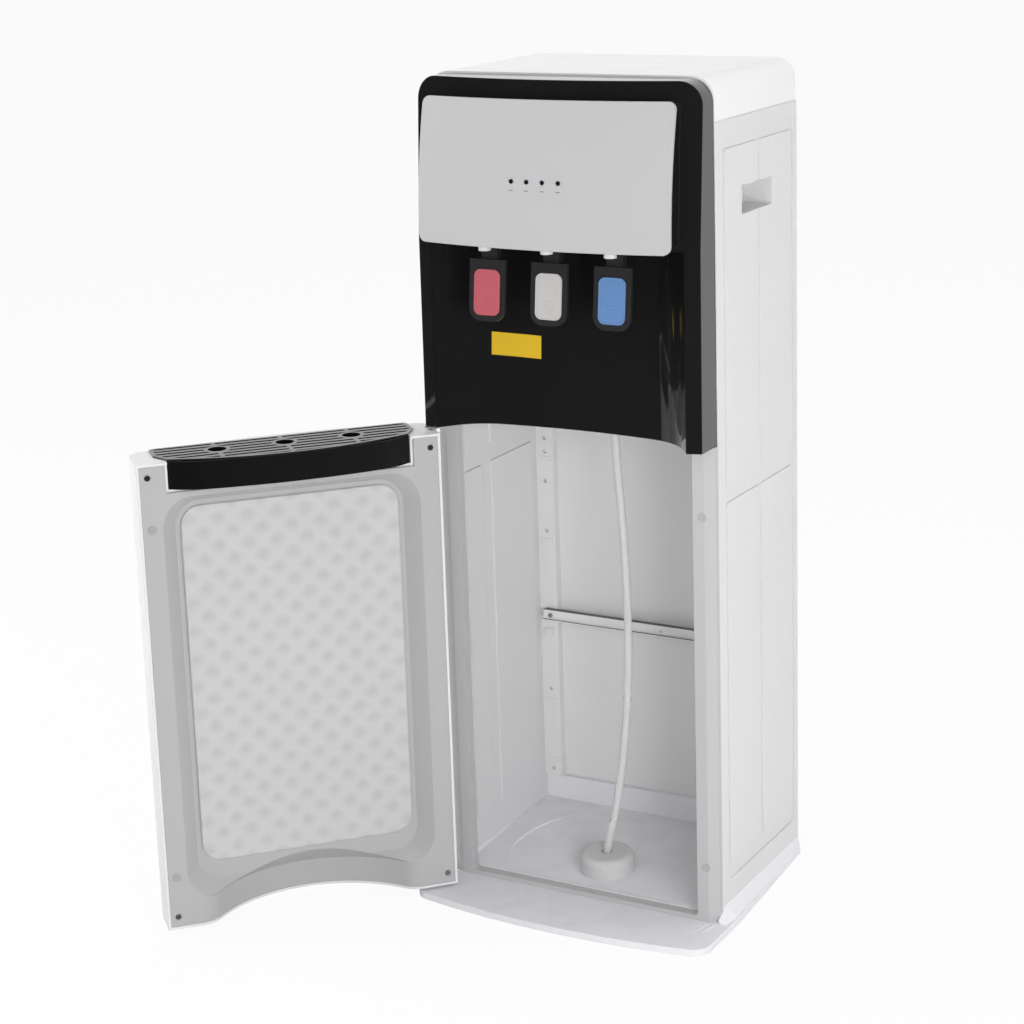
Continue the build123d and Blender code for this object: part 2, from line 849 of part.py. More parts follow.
def top_cover():
    """Moulded lid with rounded side edges, open below and towards the bezel."""
    body = block(-half_width, half_width, front_y, back_y, cover_seam_height, overall_height)
    long_edges = body.edges().filter_by(Axis.Y).group_by(Axis.Z)[-1]
    body = fillet(long_edges, cover_edge_radius)
    rear_edges = body.edges().group_by(Axis.Y)[-1].filter_by(
        lambda e: e.center().Z > cover_seam_height + fit_gap
    )
    body = fillet(rear_edges, cover_rear_radius)
    wall = cover_wall
    room = block(
        -half_width + wall, half_width - wall, front_y - cut_over, back_y - wall,
        cover_seam_height - cut_over, overall_height - wall,
    )
    room_edges = room.edges().filter_by(Axis.Y).group_by(Axis.Z)[-1]
    room = fillet(room_edges, cover_edge_radius - wall)
    return seam_chamfered(body - room)


# ---- Bezel, alcove and controls ------------------------------------------------------------------

def bezel_sections(shrink):
    """Room of the bezel drawn in by a wall: plan sections at its bottom, its knee and its top."""
    levels = (
        (bezel_bottom, bezel_reach_bottom),
        (bezel_knee_height, bezel_reach_knee),
        (bezel_top - shrink, bezel_reach_top),
    )
    half = bezel_width / 2 - shrink
    faces = []
    for z, reach in levels:
        faces.append(bowed_face(half, front_y - reach + shrink, bezel_bow, front_y, z))
    return loft(faces, ruled=True)


def bezel_body(shrink):
    """The same room with its two top corners rounded."""
    solid = bezel_sections(shrink)
    corners = solid.edges().filter_by(Axis.Y).group_by(Axis.Z)[-1]
    return fillet(corners, bezel_corner_radius - shrink)


def console_reach(z):
    """How far the ends of the console face stand ahead of the cabinet at a height."""
    share = (z - plate_bottom) / plate_height
    return console_foot_reach - console_lean * share * abs(share)


def console_solid(extra):
    """Room behind the face of the console, grown towards the front."""
    low = plate_bottom - console_overrun
    step = (plate_height + 2 * console_overrun) / (console_stations - 1)
    faces = []
    for number in range(console_stations):
        z = low + number * step
        faces.append(bowed_face(bezel_width / 2, front_y - console_reach(z) - extra, console_bow, front_y, z))
    return loft(faces)


def console_outline(shrink, z_low):
    """Front outline of the control plate as a solid, drawn in by a wall."""
    z_high = plate_top - shrink
    half = plate_half_width - shrink
    return front_plate(2 * half, z_high - z_low, plate_corner_radius, 0, (z_low + z_high) / 2, ahead_y, back_y)


def alcove_shadow(grow, top):
    """Everything below the alcove ceiling and between the legs of the bezel."""
    half = alcove_half_width + grow
    return block(-half, half, ahead_y, back_y, 0, top)


def bezel_frame():
    """Glossy black surround with the raised console that carries the control plate."""
    wall = bezel_wall
    outer = bezel_body(0)
    outer = outer + (console_solid(0) & console_outline(console_inset, plate_bottom + console_inset))
    room = bezel_body(wall)
    room = room - block(-half_width, half_width, ahead_y, back_y, 0, bezel_bottom + wall)
    room = room - alcove_shadow(wall, ceiling_top)
    console_room = console_solid(-wall) & console_outline(console_inset + wall, ceiling_top)
    posts = Compound(board_posts()) & outer
    body = outer - alcove_shadow(0, alcove_top) - room - console_room + posts
    for x in tap_positions:
        body = body - upright(x, nozzle_y, alcove_top - cut_over, ceiling_top + cut_over, nozzle_outer_radius + fit_gap)
        body = body - neck_slot(x)
    return body - led_holes()


def board_posts():
    """Four posts inside the console that carry the control board."""
    posts = []
    for x in (-board_half_width + board_post_inset, board_half_width - board_post_inset):
        for side in (-1, 1):
            z = led_height + side * (board_height / 2 - board_post_inset)
            posts.append(along_y(x, z, ahead_y, board_y, board_post_radius))
    return posts


def led_positions():
    """Where the indicators stand, side to side."""
    return [(number - (led_count - 1) / 2) * led_spacing for number in range(led_count)]


def led_holes():
    """Bores for the indicators through the plate and the console."""
    radius = led_radius + led_clearance
    return Compound([along_y(x, led_height, ahead_y, board_y, radius) for x in led_positions()])


def neck_slot(x):
    """Slot in the alcove ceiling that the neck and the eye of a paddle pass through."""
    half = neck_width / 2 + neck_slot_clearance
    front = pivot_y - pivot_eye_radius - eye_clearance
    rear = neck_rear_y + neck_slot_clearance
    return block(x - half, x + half, front, rear, alcove_top - cut_over, ceiling_top + cut_over)


def mirrored(point):
    """The same place on the other side of the cabinet."""
    return (-point[0], point[1], point[2])


def alcove_curve(offset, z):
    """Plan of the hollow above the drip tray: a shallow back and two swept sides."""
    start = (alcove_half_width, front_y - alcove_mouth_reach + offset, z)
    knee = (alcove_half_width - alcove_knee_inset + offset, alcove_knee_y + offset, z)
    bend = (alcove_half_width - alcove_bend_inset + offset / 2, alcove_bend_y + offset, z)
    near = (alcove_half_width - alcove_near_inset + offset / 2, alcove_near_y + offset, z)
    middle = (0.0, alcove_back_y + offset, z)
    edges = [
        Line(start, knee),
        ThreePointArc(knee, bend, near),
        ThreePointArc(near, middle, mirrored(near)),
        ThreePointArc(mirrored(near), mirrored(bend), mirrored(knee)),
        Line(mirrored(knee), mirrored(start)),
    ]
    return edges, start, mirrored(start)


def alcove_room(offset, front, z0, z1):
    """The space in front of the alcove wall, as a solid."""
    edges, right, left = alcove_curve(offset, z0)
    edges.append(Line(left, (left[0], front, z0)))
    edges.append(Line((left[0], front, z0), (right[0], front, z0)))
    edges.append(Line((right[0], front, z0), right))
    return extrude(make_face(edges), z1 - z0, dir=(0, 0, 1))


def alcove_panel():
    """Concave black wall between the legs of the bezel, above the drip tray."""
    front = front_y - alcove_mouth_reach
    back = alcove_back_y + alcove_wall
    body = block(-alcove_half_width, alcove_half_width, front, back, bezel_bottom, alcove_top)
    body = body - alcove_room(0, ahead_y, bezel_bottom - cut_over, alcove_top + cut_over)
    return body & alcove_room(alcove_wall, ahead_y, bezel_bottom, alcove_top)


def control_plate():
    """Matt silver plate that caps the console."""
    solid = console_solid(plate_thickness) & console_outline(0, plate_bottom)
    return solid - console_solid(0) - led_holes()


# ---- Dispensing parts ----------------------------------------------------------------------------

def label_sheet():
    """Plain yellow notice stuck to the alcove wall, a little askew."""
    low = label_centre_z - label_height
    high = label_centre_z + label_height
    face = label_glue + label_thickness
    sheet = alcove_room(-label_glue, ahead_y, low, high) - alcove_room(-face, ahead_y, low - cut_over, high + cut_over)
    half = label_width / 2
    cutter = block(-half, half, ahead_y, back_y, -label_height / 2, label_height / 2)
    return sheet & (Pos(label_centre_x, 0, label_centre_z) * Rot(0, label_turn, 0) * cutter)


def indicator_leds():
    """Four indicator lenses on the control board that look out of the plate."""
    lenses = []
    for x in led_positions():
        front = plate_front_at(x, led_height) - led_stand
        lenses.append(along_y(x, led_height, front, board_y, led_radius))
    return Compound(lenses)


def plate_front_at(x, z):
    """Depth of the front of the control plate at a point."""
    end_y = front_y - console_reach(z) - plate_thickness
    half = bezel_width / 2
    radius = (half * half + console_bow * console_bow) / (2 * console_bow)
    centre_y = end_y - console_bow + radius
    return centre_y - math.sqrt(radius * radius - x * x)


def control_board():
    """Circuit board on the four posts behind the indicators."""
    z0 = led_height - board_height / 2
    z1 = led_height + board_height / 2
    return block(-board_half_width, board_half_width, board_y, board_y + board_thickness, z0, z1)


def nozzle(x):
    """White outlet with a collar on the alcove ceiling and a head for its pipe."""
    tube = upright(x, nozzle_y, nozzle_tip, nozzle_top, nozzle_outer_radius)
    collar = upright(x, nozzle_y, ceiling_top, ceiling_top + nozzle_collar_thickness, nozzle_collar_radius)
    head_half = nozzle_outer_radius + nozzle_head_wall
    head_top = tap_pipe_height + pipe_radius + nozzle_head_wall
    head = block(x - head_half, x + head_half, nozzle_y - head_half, nozzle_y + head_half, nozzle_top, head_top)
    bore = upright(x, nozzle_y, nozzle_tip - cut_over, nozzle_top + nozzle_bore_above, nozzle_bore_radius)
    return tube + collar + head - bore


def leaned(shape):
    """Lean a part of a paddle that is drawn upright, about the rod."""
    return Pos(0, pivot_y, pivot_z) * Rot(-paddle_lean, 0, 0) * Pos(0, -pivot_y, -pivot_z) * shape


def paddle(x):
    """Black lever: a round-footed plate, its neck and the eye on the pivot rod."""
    middle_z = (paddle_top + paddle_bottom) / 2
    rear = paddle_front_y + paddle_thickness
    plate = front_plate(paddle_width, paddle_height, paddle_corner_radius, x, middle_z, paddle_front_y, rear)
    shoulder = block(
        x - paddle_width / 2, x + paddle_width / 2, paddle_front_y, rear, paddle_top - paddle_corner_radius, paddle_top
    )
    half = neck_width / 2
    neck = block(x - half, x + half, rear, neck_rear_y, paddle_top - neck_foot_drop, pivot_z)
    eye = along_x(pivot_y, pivot_z, x - half, x + half, pivot_eye_radius)
    bore = along_x(pivot_y, pivot_z, x - half - cut_over, x + half + cut_over, pivot_radius + running_fit)
    seat = front_plate(
        inset_width + 2 * running_fit, inset_height + 2 * running_fit, inset_corner_radius,
        x, inset_centre_z, paddle_front_y - cut_over, paddle_front_y + inset_sink,
    )
    return leaned(plate + shoulder + neck + eye - bore - seat)


def paddle_inset(x):
    """Coloured plate let into the front of a paddle."""
    plate = front_plate(
        inset_width, inset_height, inset_corner_radius, x, inset_centre_z,
        paddle_front_y - inset_rise, paddle_front_y + inset_sink,
    )
    return leaned(plate)


def cheek_offsets():
    """The two cheeks that stand beside the eye of each paddle."""
    near = neck_width / 2 + carrier_gap
    return ((-near - carrier_cheek, -near), (near, near + carrier_cheek))


def pivot_carrier():
    """Cheeks and a rear strip on the alcove ceiling that hold the pivot rod."""
    rear = switch_front_y + switch_depth
    strip_top = ceiling_top + carrier_strip
    body = block(-carrier_half, carrier_half, switch_front_y, rear, ceiling_top, strip_top)
    front = nozzle_y + nozzle_collar_radius + fit_gap
    for x in tap_positions:
        for low, high in cheek_offsets():
            body = body + block(x + low, x + high, front, rear, ceiling_top, carrier_top)
    reach = carrier_half + cut_over
    return body - along_x(pivot_y, pivot_z, -reach, reach, pivot_radius + running_fit)


def pivot_rod():
    """Steel rod through the eyes of the three paddles."""
    return along_x(pivot_y, pivot_z, -carrier_half, carrier_half, pivot_radius)


def paddle_switches():
    """Small switches behind the necks of the paddles."""
    half = switch_width / 2
    base = ceiling_top + carrier_strip
    rear = switch_front_y + switch_depth
    bodies = [block(x - half, x + half, switch_front_y, rear, base, base + switch_height) for x in tap_positions]
    return Compound(bodies)


# ---- Machinery -------------------------------------------------------------------------------------

def cold_tank():
    """Insulated cold tank on the deck."""
    return upright(cold_tank_x, 0, deck_top, cold_tank_top, jacket_radius)


def compressor():
    """Compressor shell on its feet."""
    low = deck_top + compressor_foot
    shell = upright(hot_tank_x, 0, low, low + compressor_height, compressor_radius)
    shell = fillet(shell.edges().filter_by(GeomType.CIRCLE), compressor_dome_radius)
    half = compressor_foot_width / 2
    deep = compressor_foot_depth / 2
    feet = block(hot_tank_x - half, hot_tank_x + half, -deep, deep, deck_top, low + compressor_foot)
    return shell + feet


def tank_shelf():
    """Bent shelf from the left wall that carries the hot tank above the compressor."""
    edge = hot_tank_x + hot_tank_radius
    top = tank_shelf_height + tank_shelf_sheet
    body = block(-inner_x, edge, -hot_tank_radius, hot_tank_radius, tank_shelf_height, top)
    flange = block(
        -inner_x, -inner_x + tank_shelf_sheet, -hot_tank_radius, hot_tank_radius,
        tank_shelf_height - shelf_flange, tank_shelf_height,
    )
    return body + flange


def hot_tank():
    """Hollow steel hot tank with domed ends, on a round foot that holds its drain."""
    base = tank_shelf_height + tank_shelf_sheet
    low = base + tank_foot
    high = low + hot_tank_height
    shell = upright(hot_tank_x, 0, low, high, hot_tank_radius)
    shell = fillet(shell.edges().filter_by(GeomType.CIRCLE), tank_dome_radius)
    room = upright(hot_tank_x, 0, low + tank_sheet, high - tank_sheet, hot_tank_radius - tank_sheet)
    room = fillet(room.edges().filter_by(GeomType.CIRCLE), tank_dome_radius - tank_sheet)
    shell = shell + upright(hot_tank_x, 0, base, low + tank_sheet, tank_foot_radius) - room
    return shell - upright(hot_tank_x, 0, base - cut_over, low + tank_foot, tank_drain_radius)


def pump():
    """Pump that lifts the water out of the bottle."""
    half = pump_width / 2
    body = block(-half, half, pump_front_y, pump_front_y + pump_length, deck_top, deck_top + pump_height)
    return fillet(body.edges().filter_by(Axis.Z), pump_corner_radius)


def condenser():
    """Finned condenser behind the vents, on two feet."""
    y1 = back_y - back_sheet_thickness - condenser_back_gap
    y0 = y1 - condenser_depth
    core_front = y0 + condenser_fin_reach
    core_back = y1 - condenser_fin_reach
    half = condenser_width / 2
    body = block(-half, half, core_front, core_back, condenser_bottom, condenser_bottom + condenser_height)
    step = (condenser_height - condenser_fin) / (condenser_fins - 1)
    for number in range(condenser_fins):
        z = condenser_bottom + number * step
        body = body + block(-half, half, y0, y1, z, z + condenser_fin)
    for x0 in (-half, half - condenser_foot_width):
        body = body + block(x0, x0 + condenser_foot_width, y0, core_back, deck_top, condenser_bottom)
    return body


def pipe_run(points):
    """A rigid pipe of straight lengths with rounded bends."""
    if len(points) > 2:
        path = FilletPolyline(*points, radius=pipe_bend_radius)
    else:
        path = Line(*points)
    start = Plane(origin=path @ 0, z_dir=path % 0)
    return sweep(start * Circle(pipe_radius), path=path)


def feed_pipes():
    """Pipes from the hose gland to the pump, and from the pump to the cold tank."""
    x, y = hose_points[0][0], hose_points[0][1]
    pump_top = deck_top + pump_height
    suction = pipe_run([
        (x, y, gland_top_z), (x, y, feed_pipe_height), (x, pump_inlet_y, feed_pipe_height),
        (x, pump_inlet_y, pump_top),
    ])
    delivery = pipe_run([
        (pump_outlet_x, pump_outlet_y, pump_top), (pump_outlet_x, pump_outlet_y, delivery_pipe_height),
        (pump_outlet_x, 0, delivery_pipe_height), (cold_tank_x - jacket_radius - fit_gap, 0, delivery_pipe_height),
    ])
    return Compound([suction, delivery])


def tank_pipes():
    """Pipes between the tanks and from the tanks to the three nozzles."""
    left = hot_tank_x + hot_tank_radius + fit_gap
    right = cold_tank_x - jacket_radius - fit_gap
    link = pipe_run([(left, 0, link_pipe_height), (right, 0, link_pipe_height)])
    head_y = nozzle_y + nozzle_outer_radius + nozzle_head_wall
    hot_x, room_x, cold_x = tap_positions
    nearest = abs(hot_x - hot_tank_x) - pipe_radius
    hot_end = -math.sqrt(hot_tank_radius ** 2 - nearest ** 2) - fit_gap
    hot = pipe_run([(hot_x, head_y, tap_pipe_height), (hot_x, hot_end, tap_pipe_height)])
    room = pipe_run([(room_x, head_y, tap_pipe_height), (room_x, 0, tap_pipe_height), (room_x, 0, link_pipe_height)])
    cold = pipe_run([
        (cold_x, head_y, tap_pipe_height), (cold_x, cold_drop_y, tap_pipe_height),
        (cold_x, cold_drop_y, cold_tank_top),
    ])
    return Compound([link + room, hot, cold])


# ---- Supply hose and cap -----------------------------------------------------------------------------

def hose_gland():
    """White gland in the deck that the supply hose hangs from."""
    x, y, z = hose_points[0]
    stem = upright(x, y, z, gland_top_z, gland_radius)
    flange = upright(x, y, deck_underside - gland_flange_thickness, deck_underside, gland_flange_radius)
    return stem + flange


def hose_path():
    """Straight runs joined by the largest tangent arcs that they allow."""
    radii = []
    points = [Vector(*p) for p in hose_points]
    for before, corner, after in zip(points, points[1:], points[2:]):
        first = corner - before
        second = after - corner
        turn = math.radians(first.get_angle(second))
        radii.append(hose_bend_share * min(first.length, second.length) / math.tan(turn / 2))
    return FilletPolyline(*hose_points, radius=radii)


def supply_hose():
    """Soft tube from the gland down to the bottle cap."""
    path = hose_path()
    start = Plane(origin=path @ 0, z_dir=path % 0)
    return sweep(start * Circle(hose_diameter / 2), path=path)


def on_cap(shape):
    """Place a piece drawn about the cap's own foot, leaning with the floor."""
    return Pos(cap_x, cap_y, floor_at_cap) * Rot(floor_slope, 0, 0) * shape


def bottle_cap():
    """White push-on cap with a round shoulder, open below, that lies on the floor."""
    body = upright(0, 0, 0, cap_height, cap_radius)
    body = fillet(body.edges().group_by(Axis.Z)[-1], cap_edge_radius)
    room = upright(0, 0, -cut_over, cap_height - cap_wall, cap_radius - cap_wall)
    room = fillet(room.edges().group_by(Axis.Z)[-1], cap_edge_radius - cap_wall)
    return on_cap(body - room - upright(0, 0, 0, cap_height + cut_over, cap_hole_radius))


def cap_collar():
    """Socket ring under the top of the cap that grips the end of the hose."""
    high = cap_height - cap_wall
    low = high - collar_height
    ring = upright(0, 0, low, high, collar_radius)
    return on_cap(ring - upright(0, 0, low - cut_over, high + cut_over, hose_diameter / 2))


# ---- Door ----------------------------------------------------------------------------------------------

def door_plan(shrink, z0, z1, inner_face):
    """The plan of the shut door drawn in by a wall thickness, as a solid."""
    half = door_width / 2 - shrink
    end_y = door_end_y + shrink
    face = bowed_face(half, end_y, door_bow, inner_face, z0)
    solid = extrude(face, z1 - z0, dir=(0, 0, 1))
    corners = solid.edges().filter_by(Axis.Z).group_by(Axis.Y)[0]
    return fillet(corners, door_corner_radius - shrink)


def pocket_block(extra, z0, z1):
    """The pocket of the drip tray, grown by a margin."""
    half = tray_half_width + tray_clearance + extra
    return block(-half, half, tray_far_y - tray_clearance - extra, door_inner_y + cut_over, z0, z1)


def hinge_rod(radius, z0, z1):
    """A cylinder about the hinge axis of the door."""
    return upright(hinge_x, hinge_y, z0, z1, radius)


def door_outer_shell():
    """Bowed outer shell with the tray pocket and the two hinge bosses."""
    body = door_plan(0, door_bottom, door_top, door_inner_y)
    room = door_plan(door_wall, door_bottom + door_wall, door_top - door_wall, door_inner_y + cut_over)
    body = body - room
    tub = pocket_block(pocket_wall, tray_bottom - pocket_wall, door_top)
    tub = tub & block(-half_width, half_width, ahead_y, door_inner_y - door_wall, 0, door_top)
    body = body + tub - pocket_block(0, tray_bottom, door_top + cut_over)
    depth = hinge_pin_length + door_wall
    boss = hinge_rod(hinge_boss_radius, door_bottom, door_bottom + depth)
    boss = boss + hinge_rod(hinge_boss_radius, door_top - depth, door_top)
    body = body + boss
    bore_radius = hinge_pin_radius + running_fit
    body = body - hinge_rod(bore_radius, door_bottom - cut_over, door_bottom + hinge_bore_depth)
    body = body - hinge_rod(bore_radius, door_top - hinge_bore_depth, door_top + cut_over)
    return swing_open(body - scoop_drum(0, door_bottom + door_wall + cut_over))


def recess_funnel(wall):
    """Room of the recess grown by a wall: wide at the face of the panel, narrow at its floor."""
    levels = (
        (door_inner_y, quilt_surround + recess_lip_width, quilt_surround + recess_lip_head,
         quilt_foot_surround + recess_lip_foot, recess_lip_round),
        (quilt_plane_y - wall, quilt_surround, quilt_surround,
         quilt_foot_surround, quilt_corner_radius + quilt_surround),
    )
    faces = []
    for y, beside, above, below, radius in levels:
        half = quilt_half_width + beside + wall
        low = quilt_bottom - below - wall
        high = quilt_top + above + wall
        plane = Plane(origin=(0, y, (low + high) / 2), x_dir=(1, 0, 0), z_dir=(0, -1, 0))
        faces.append(plane * RectangleRounded(2 * half, high - low, radius + wall))
    return loft(faces, ruled=True)


def scoop_drum(grow, z1):
    """Plan of the scoop up to a height: an arc that runs out softly into the face of the panel."""
    reach = scoop_radius + grow
    half = door_width - scoop_centre_y
    depth = scoop_centre_y - door_inner_y + grow
    plan = Circle(reach) + Pos(0, half - depth) * Rectangle(2 * half, 2 * half)
    ends = plan.vertices().filter_by(
        lambda v: abs(v.Y + depth) < fit_gap and abs(v.X) < reach
    )
    plan = fillet(ends, scoop_end_round - grow)
    z0 = door_bottom - cut_over
    solid = extrude(Plane(origin=(0, scoop_centre_y, z0)) * plan, z1 - z0, dir=(0, 0, 1))
    return solid


def scoop_room(grow):
    """Room for the foot of the bottle at the bottom of the door."""
    top = door_bottom + scoop_height + grow
    low_radius = scoop_radius + grow - scoop_ledge
    high_radius = scoop_centre_y - quilt_plane_y + grow
    cone = Pos(0, scoop_centre_y, top + scoop_fade_height / 2) * Cone(low_radius, high_radius, scoop_fade_height)
    return scoop_drum(grow, top) + cone


def door_inner_panel():
    """Inner liner of the door with the recess and the scoop."""
    wall = door_wall
    play = running_fit
    keep = door_plan(wall + play, door_bottom + wall + play, door_top - wall - play, door_inner_y)
    body = keep & block(-half_width, half_width, door_inner_y - wall, door_inner_y, 0, door_top)
    tubs = recess_funnel(wall) + scoop_room(wall)
    body = body + (tubs & keep)
    body = body - recess_funnel(0) - scoop_room(0)
    pocket = pocket_block(pocket_wall + play, tray_bottom - pocket_wall - play, door_top + cut_over)
    return swing_open(body - pocket)


def door_quilt_sheet():
    """Embossed plastic sheet on the floor of the recess of the inner liner."""
    middle_z = (quilt_top + quilt_bottom) / 2
    height = quilt_top - quilt_bottom
    back = quilt_plane_y + quilt_thickness
    return swing_open(front_plate(2 * quilt_half_width, height, quilt_corner_radius, 0, middle_z, quilt_plane_y, back))


def door_screws():
    """Four cross-head screws at the corners of the inner liner."""
    heads = []
    for x in (-door_width / 2 + screw_inset_x, door_width / 2 - screw_inset_x):
        for z in (door_bottom + screw_inset_z, door_top - screw_inset_z):
            head = along_y(x, z, door_inner_y, door_inner_y + screw_head_height, screw_head_radius)
            top = door_inner_y + screw_head_height
            deep = top - screw_slot_depth
            reach = screw_slot_reach
            half = screw_slot_width / 2
            head = head - block(x - reach, x + reach, deep, top + cut_over, z - half, z + half)
            head = head - block(x - half, x + half, deep, top + cut_over, z - reach, z + reach)
            heads.append(swing_open(head))
    return Compound(heads)


def door_catches():
    """Round catch plates on the free edge of the inner liner."""
    x = door_width / 2 - catch_inset_x
    discs = []
    for z in catch_heights:
        disc = along_y(x, z, door_inner_y, door_inner_y + catch_rise, catch_radius)
        discs.append(swing_open(disc))
    return Compound(discs)


def hinge_top():
    """Steel plate under the bezel with the upper hinge pin."""
    low = bezel_bottom - hinge_plate_thickness
    plate = block(
        -bezel_width / 2 + hinge_plate_margin, -alcove_half_width - hinge_plate_margin,
        hinge_y - hinge_plate_reach, frame_front_y - fit_gap, low, bezel_bottom,
    )
    return plate + hinge_rod(hinge_pin_radius, door_top - hinge_pin_length, low)


def hinge_bottom():
    """Steel pin and washer on the apron for the foot of the door."""
    washer = hinge_rod(hinge_boss_radius, apron_thickness, door_bottom - fit_gap)
    return washer + hinge_rod(hinge_pin_radius, apron_thickness, door_bottom + hinge_pin_length)


# ---- Drip tray --------------------------------------------------------------------------------------------

def tray_outline(shrink, z0, z1):
    """Plan of the drip tray: square at the back, a swept near edge that follows the hollow."""
    half = tray_half_width - shrink
    far = tray_far_y + shrink
    end = (half, tray_end_y - shrink, z0)
    bend = (tray_half_width - tray_bend_inset - shrink / 2, tray_bend_y - shrink, z0)
    shoulder = (tray_half_width - tray_shoulder_inset - shrink / 2, tray_shoulder_y - shrink, z0)
    outline = [
        Line(end, (half, far, z0)),
        Line((half, far, z0), (-half, far, z0)),
        Line((-half, far, z0), mirrored(end)),
        ThreePointArc(mirrored(end), mirrored(bend), mirrored(shoulder)),
        ThreePointArc(mirrored(shoulder), (0, tray_near_y - shrink, z0), shoulder),
        ThreePointArc(shoulder, bend, end),
    ]
    return extrude(make_face(outline), z1 - z0, dir=(0, 0, 1))


def drip_tray():
    """Black bowl in the top of the door."""
    body = tray_outline(0, tray_bottom, door_top)
    return swing_open(body - tray_outline(tray_wall, tray_bottom + tray_wall, door_top + cut_over))


def grille_outline(shrink, z0, z1):
    """Plan of the grille: two cut corners behind, long cut corners and one arc before."""
    half = grille_half_width - shrink
    far = grille_far_y + shrink
    end_half = tray_half_width - shrink
    end = grille_end_y - shrink
    outline = [
        Line((half, grille_cut_y, z0), (half, far + grille_far_cut, z0)),
        Line((half, far + grille_far_cut, z0), (half - grille_far_cut, far, z0)),
        Line((half - grille_far_cut, far, z0), (grille_far_cut - half, far, z0)),
        Line((grille_far_cut - half, far, z0), (-half, far + grille_far_cut, z0)),
        Line((-half, far + grille_far_cut, z0), (-half, grille_cut_y, z0)),
        Line((-half, grille_cut_y, z0), (-end_half, end, z0)),
        ThreePointArc((-end_half, end, z0), (0, grille_near_y - shrink, z0), (end_half, end, z0)),
        Line((end_half, end, z0), (half, grille_cut_y, z0)),
    ]
    return extrude(make_face(outline), z1 - z0, dir=(0, 0, 1))


def drip_grille():
    """Slotted black grille with three round drains, on top of the bowl."""
    z0 = door_top
    z1 = door_top + grille_thickness
    low = z0 - cut_over
    high = z1 + cut_over
    edges = [-grille_half_width]
    for x in tap_positions:
        edges += [x - grille_spoke_width / 2, x + grille_spoke_width / 2]
    edges.append(grille_half_width)
    slots = []
    for row in range(grille_rows):
        y = grille_far_y + grille_rim + grille_bar_pitch * row
        for x0, x1 in zip(edges[::2], edges[1::2]):
            slots.append(block(x0, x1, y, y + grille_slot_width, low, high))
    openings = Compound(slots) & grille_outline(grille_rim, low, high)
    for x in tap_positions:
        openings = openings - upright(x, grille_hole_y, low - cut_over, high + cut_over, grille_ring_radius)
    body = grille_outline(0, z0, z1) - openings
    for x in tap_positions:
        body = body - upright(x, grille_hole_y, low, high, grille_hole_radius)
    return swing_open(body)


# ---- Rear fittings -------------------------------------------------------------------------------------------

def rocker_positions():
    """Where the two rocker keys stand, side to side."""
    return (-rocker_spacing / 2, rocker_spacing / 2)


def switch_plate():
    """Black plate on the back with the housings of the two rocker switches."""
    y1 = back_y + switch_plate_thickness
    half = switch_plate_width / 2
    z0 = switch_plate_centre_z - switch_plate_height / 2
    z1 = switch_plate_centre_z + switch_plate_height / 2
    body = block(-half, half, back_y, y1, z0, z1)
    room_half = rocker_width / 2 + rocker_clearance
    room_high = rocker_radius + rocker_clearance
    for x in rocker_positions():
        body = body + block(
            x - room_half - housing_wall, x + room_half + housing_wall, back_y - housing_depth, back_y,
            rocker_centre_z - room_high - housing_wall, rocker_centre_z + room_high + housing_wall,
        )
    for x in rocker_positions():
        body = body - block(
            x - room_half, x + room_half, back_y - housing_depth + housing_wall, y1 + cut_over,
            rocker_centre_z - room_high, rocker_centre_z + room_high,
        )
        reach = room_half + rocker_axle_length + rocker_axle_play
        body = body - along_x(back_y, rocker_centre_z, x - reach, x + reach, rocker_axle_radius + running_fit)
    return body - block(
        -inlet_width / 2, inlet_width / 2, back_y - cut_over, y1 + cut_over,
        inlet_centre_z - inlet_height / 2, inlet_centre_z + inlet_height / 2,
    )


def rocker(x):
    """Rocker key: a drum with two faces in a shallow V, on two short axles."""
    half = rocker_width / 2
    drum = along_x(back_y, rocker_centre_z, x - half, x + half, rocker_radius)
    rise = rocker_radius * math.tan(math.radians(rocker_tilt))
    profile = make_face(Polyline(
        (x, back_y - rocker_radius, rocker_centre_z - rocker_radius),
        (x, back_y + rocker_valley + rise, rocker_centre_z - rocker_radius),
        (x, back_y + rocker_valley, rocker_centre_z),
        (x, back_y + rocker_valley + rise, rocker_centre_z + rocker_radius),
        (x, back_y - rocker_radius, rocker_centre_z + rocker_radius),
        close=True,
    ))
    drum = drum & extrude(profile, half, both=True)
    reach = half + rocker_clearance + rocker_axle_length
    axle = along_x(back_y, rocker_centre_z, x - reach, x + reach, rocker_axle_radius)
    pivot = Pos(0, back_y, rocker_centre_z)
    return pivot * Rot(-rocker_tilt, 0, 0) * Pos(0, -back_y, -rocker_centre_z) * (drum + axle)


def power_inlet():
    """Recessed appliance inlet with three blades, behind the rear plate."""
    wall = inlet_wall
    half_w = inlet_width / 2
    half_h = inlet_height / 2
    y1 = back_y + switch_plate_thickness
    body = block(-half_w, half_w, back_y - inlet_depth, y1, inlet_centre_z - half_h, inlet_centre_z + half_h)
    room = block(
        -half_w + wall, half_w - wall, back_y - inlet_depth + wall, y1 + cut_over,
        inlet_centre_z - half_h + wall, inlet_centre_z + half_h - wall,
    )
    body = body - room
    for x, offset in ((-blade_spacing, -blade_offset), (0, blade_offset), (blade_spacing, -blade_offset)):
        z = inlet_centre_z + offset
        body = body + block(
            x - blade_thickness / 2, x + blade_thickness / 2, back_y - inlet_depth + wall, back_y - blade_sink,
            z - blade_width / 2, z + blade_width / 2,
        )
    return body


def drain_plug():
    """Screwed drain plug with a knob outside the back."""
    stem = along_y(drain_x, drain_centre_z, back_y - drain_stem_length, back_y, drain_radius)
    knob = along_y(drain_x, drain_centre_z, back_y, back_y + drain_knob_depth, drain_knob_radius)
    return stem + knob


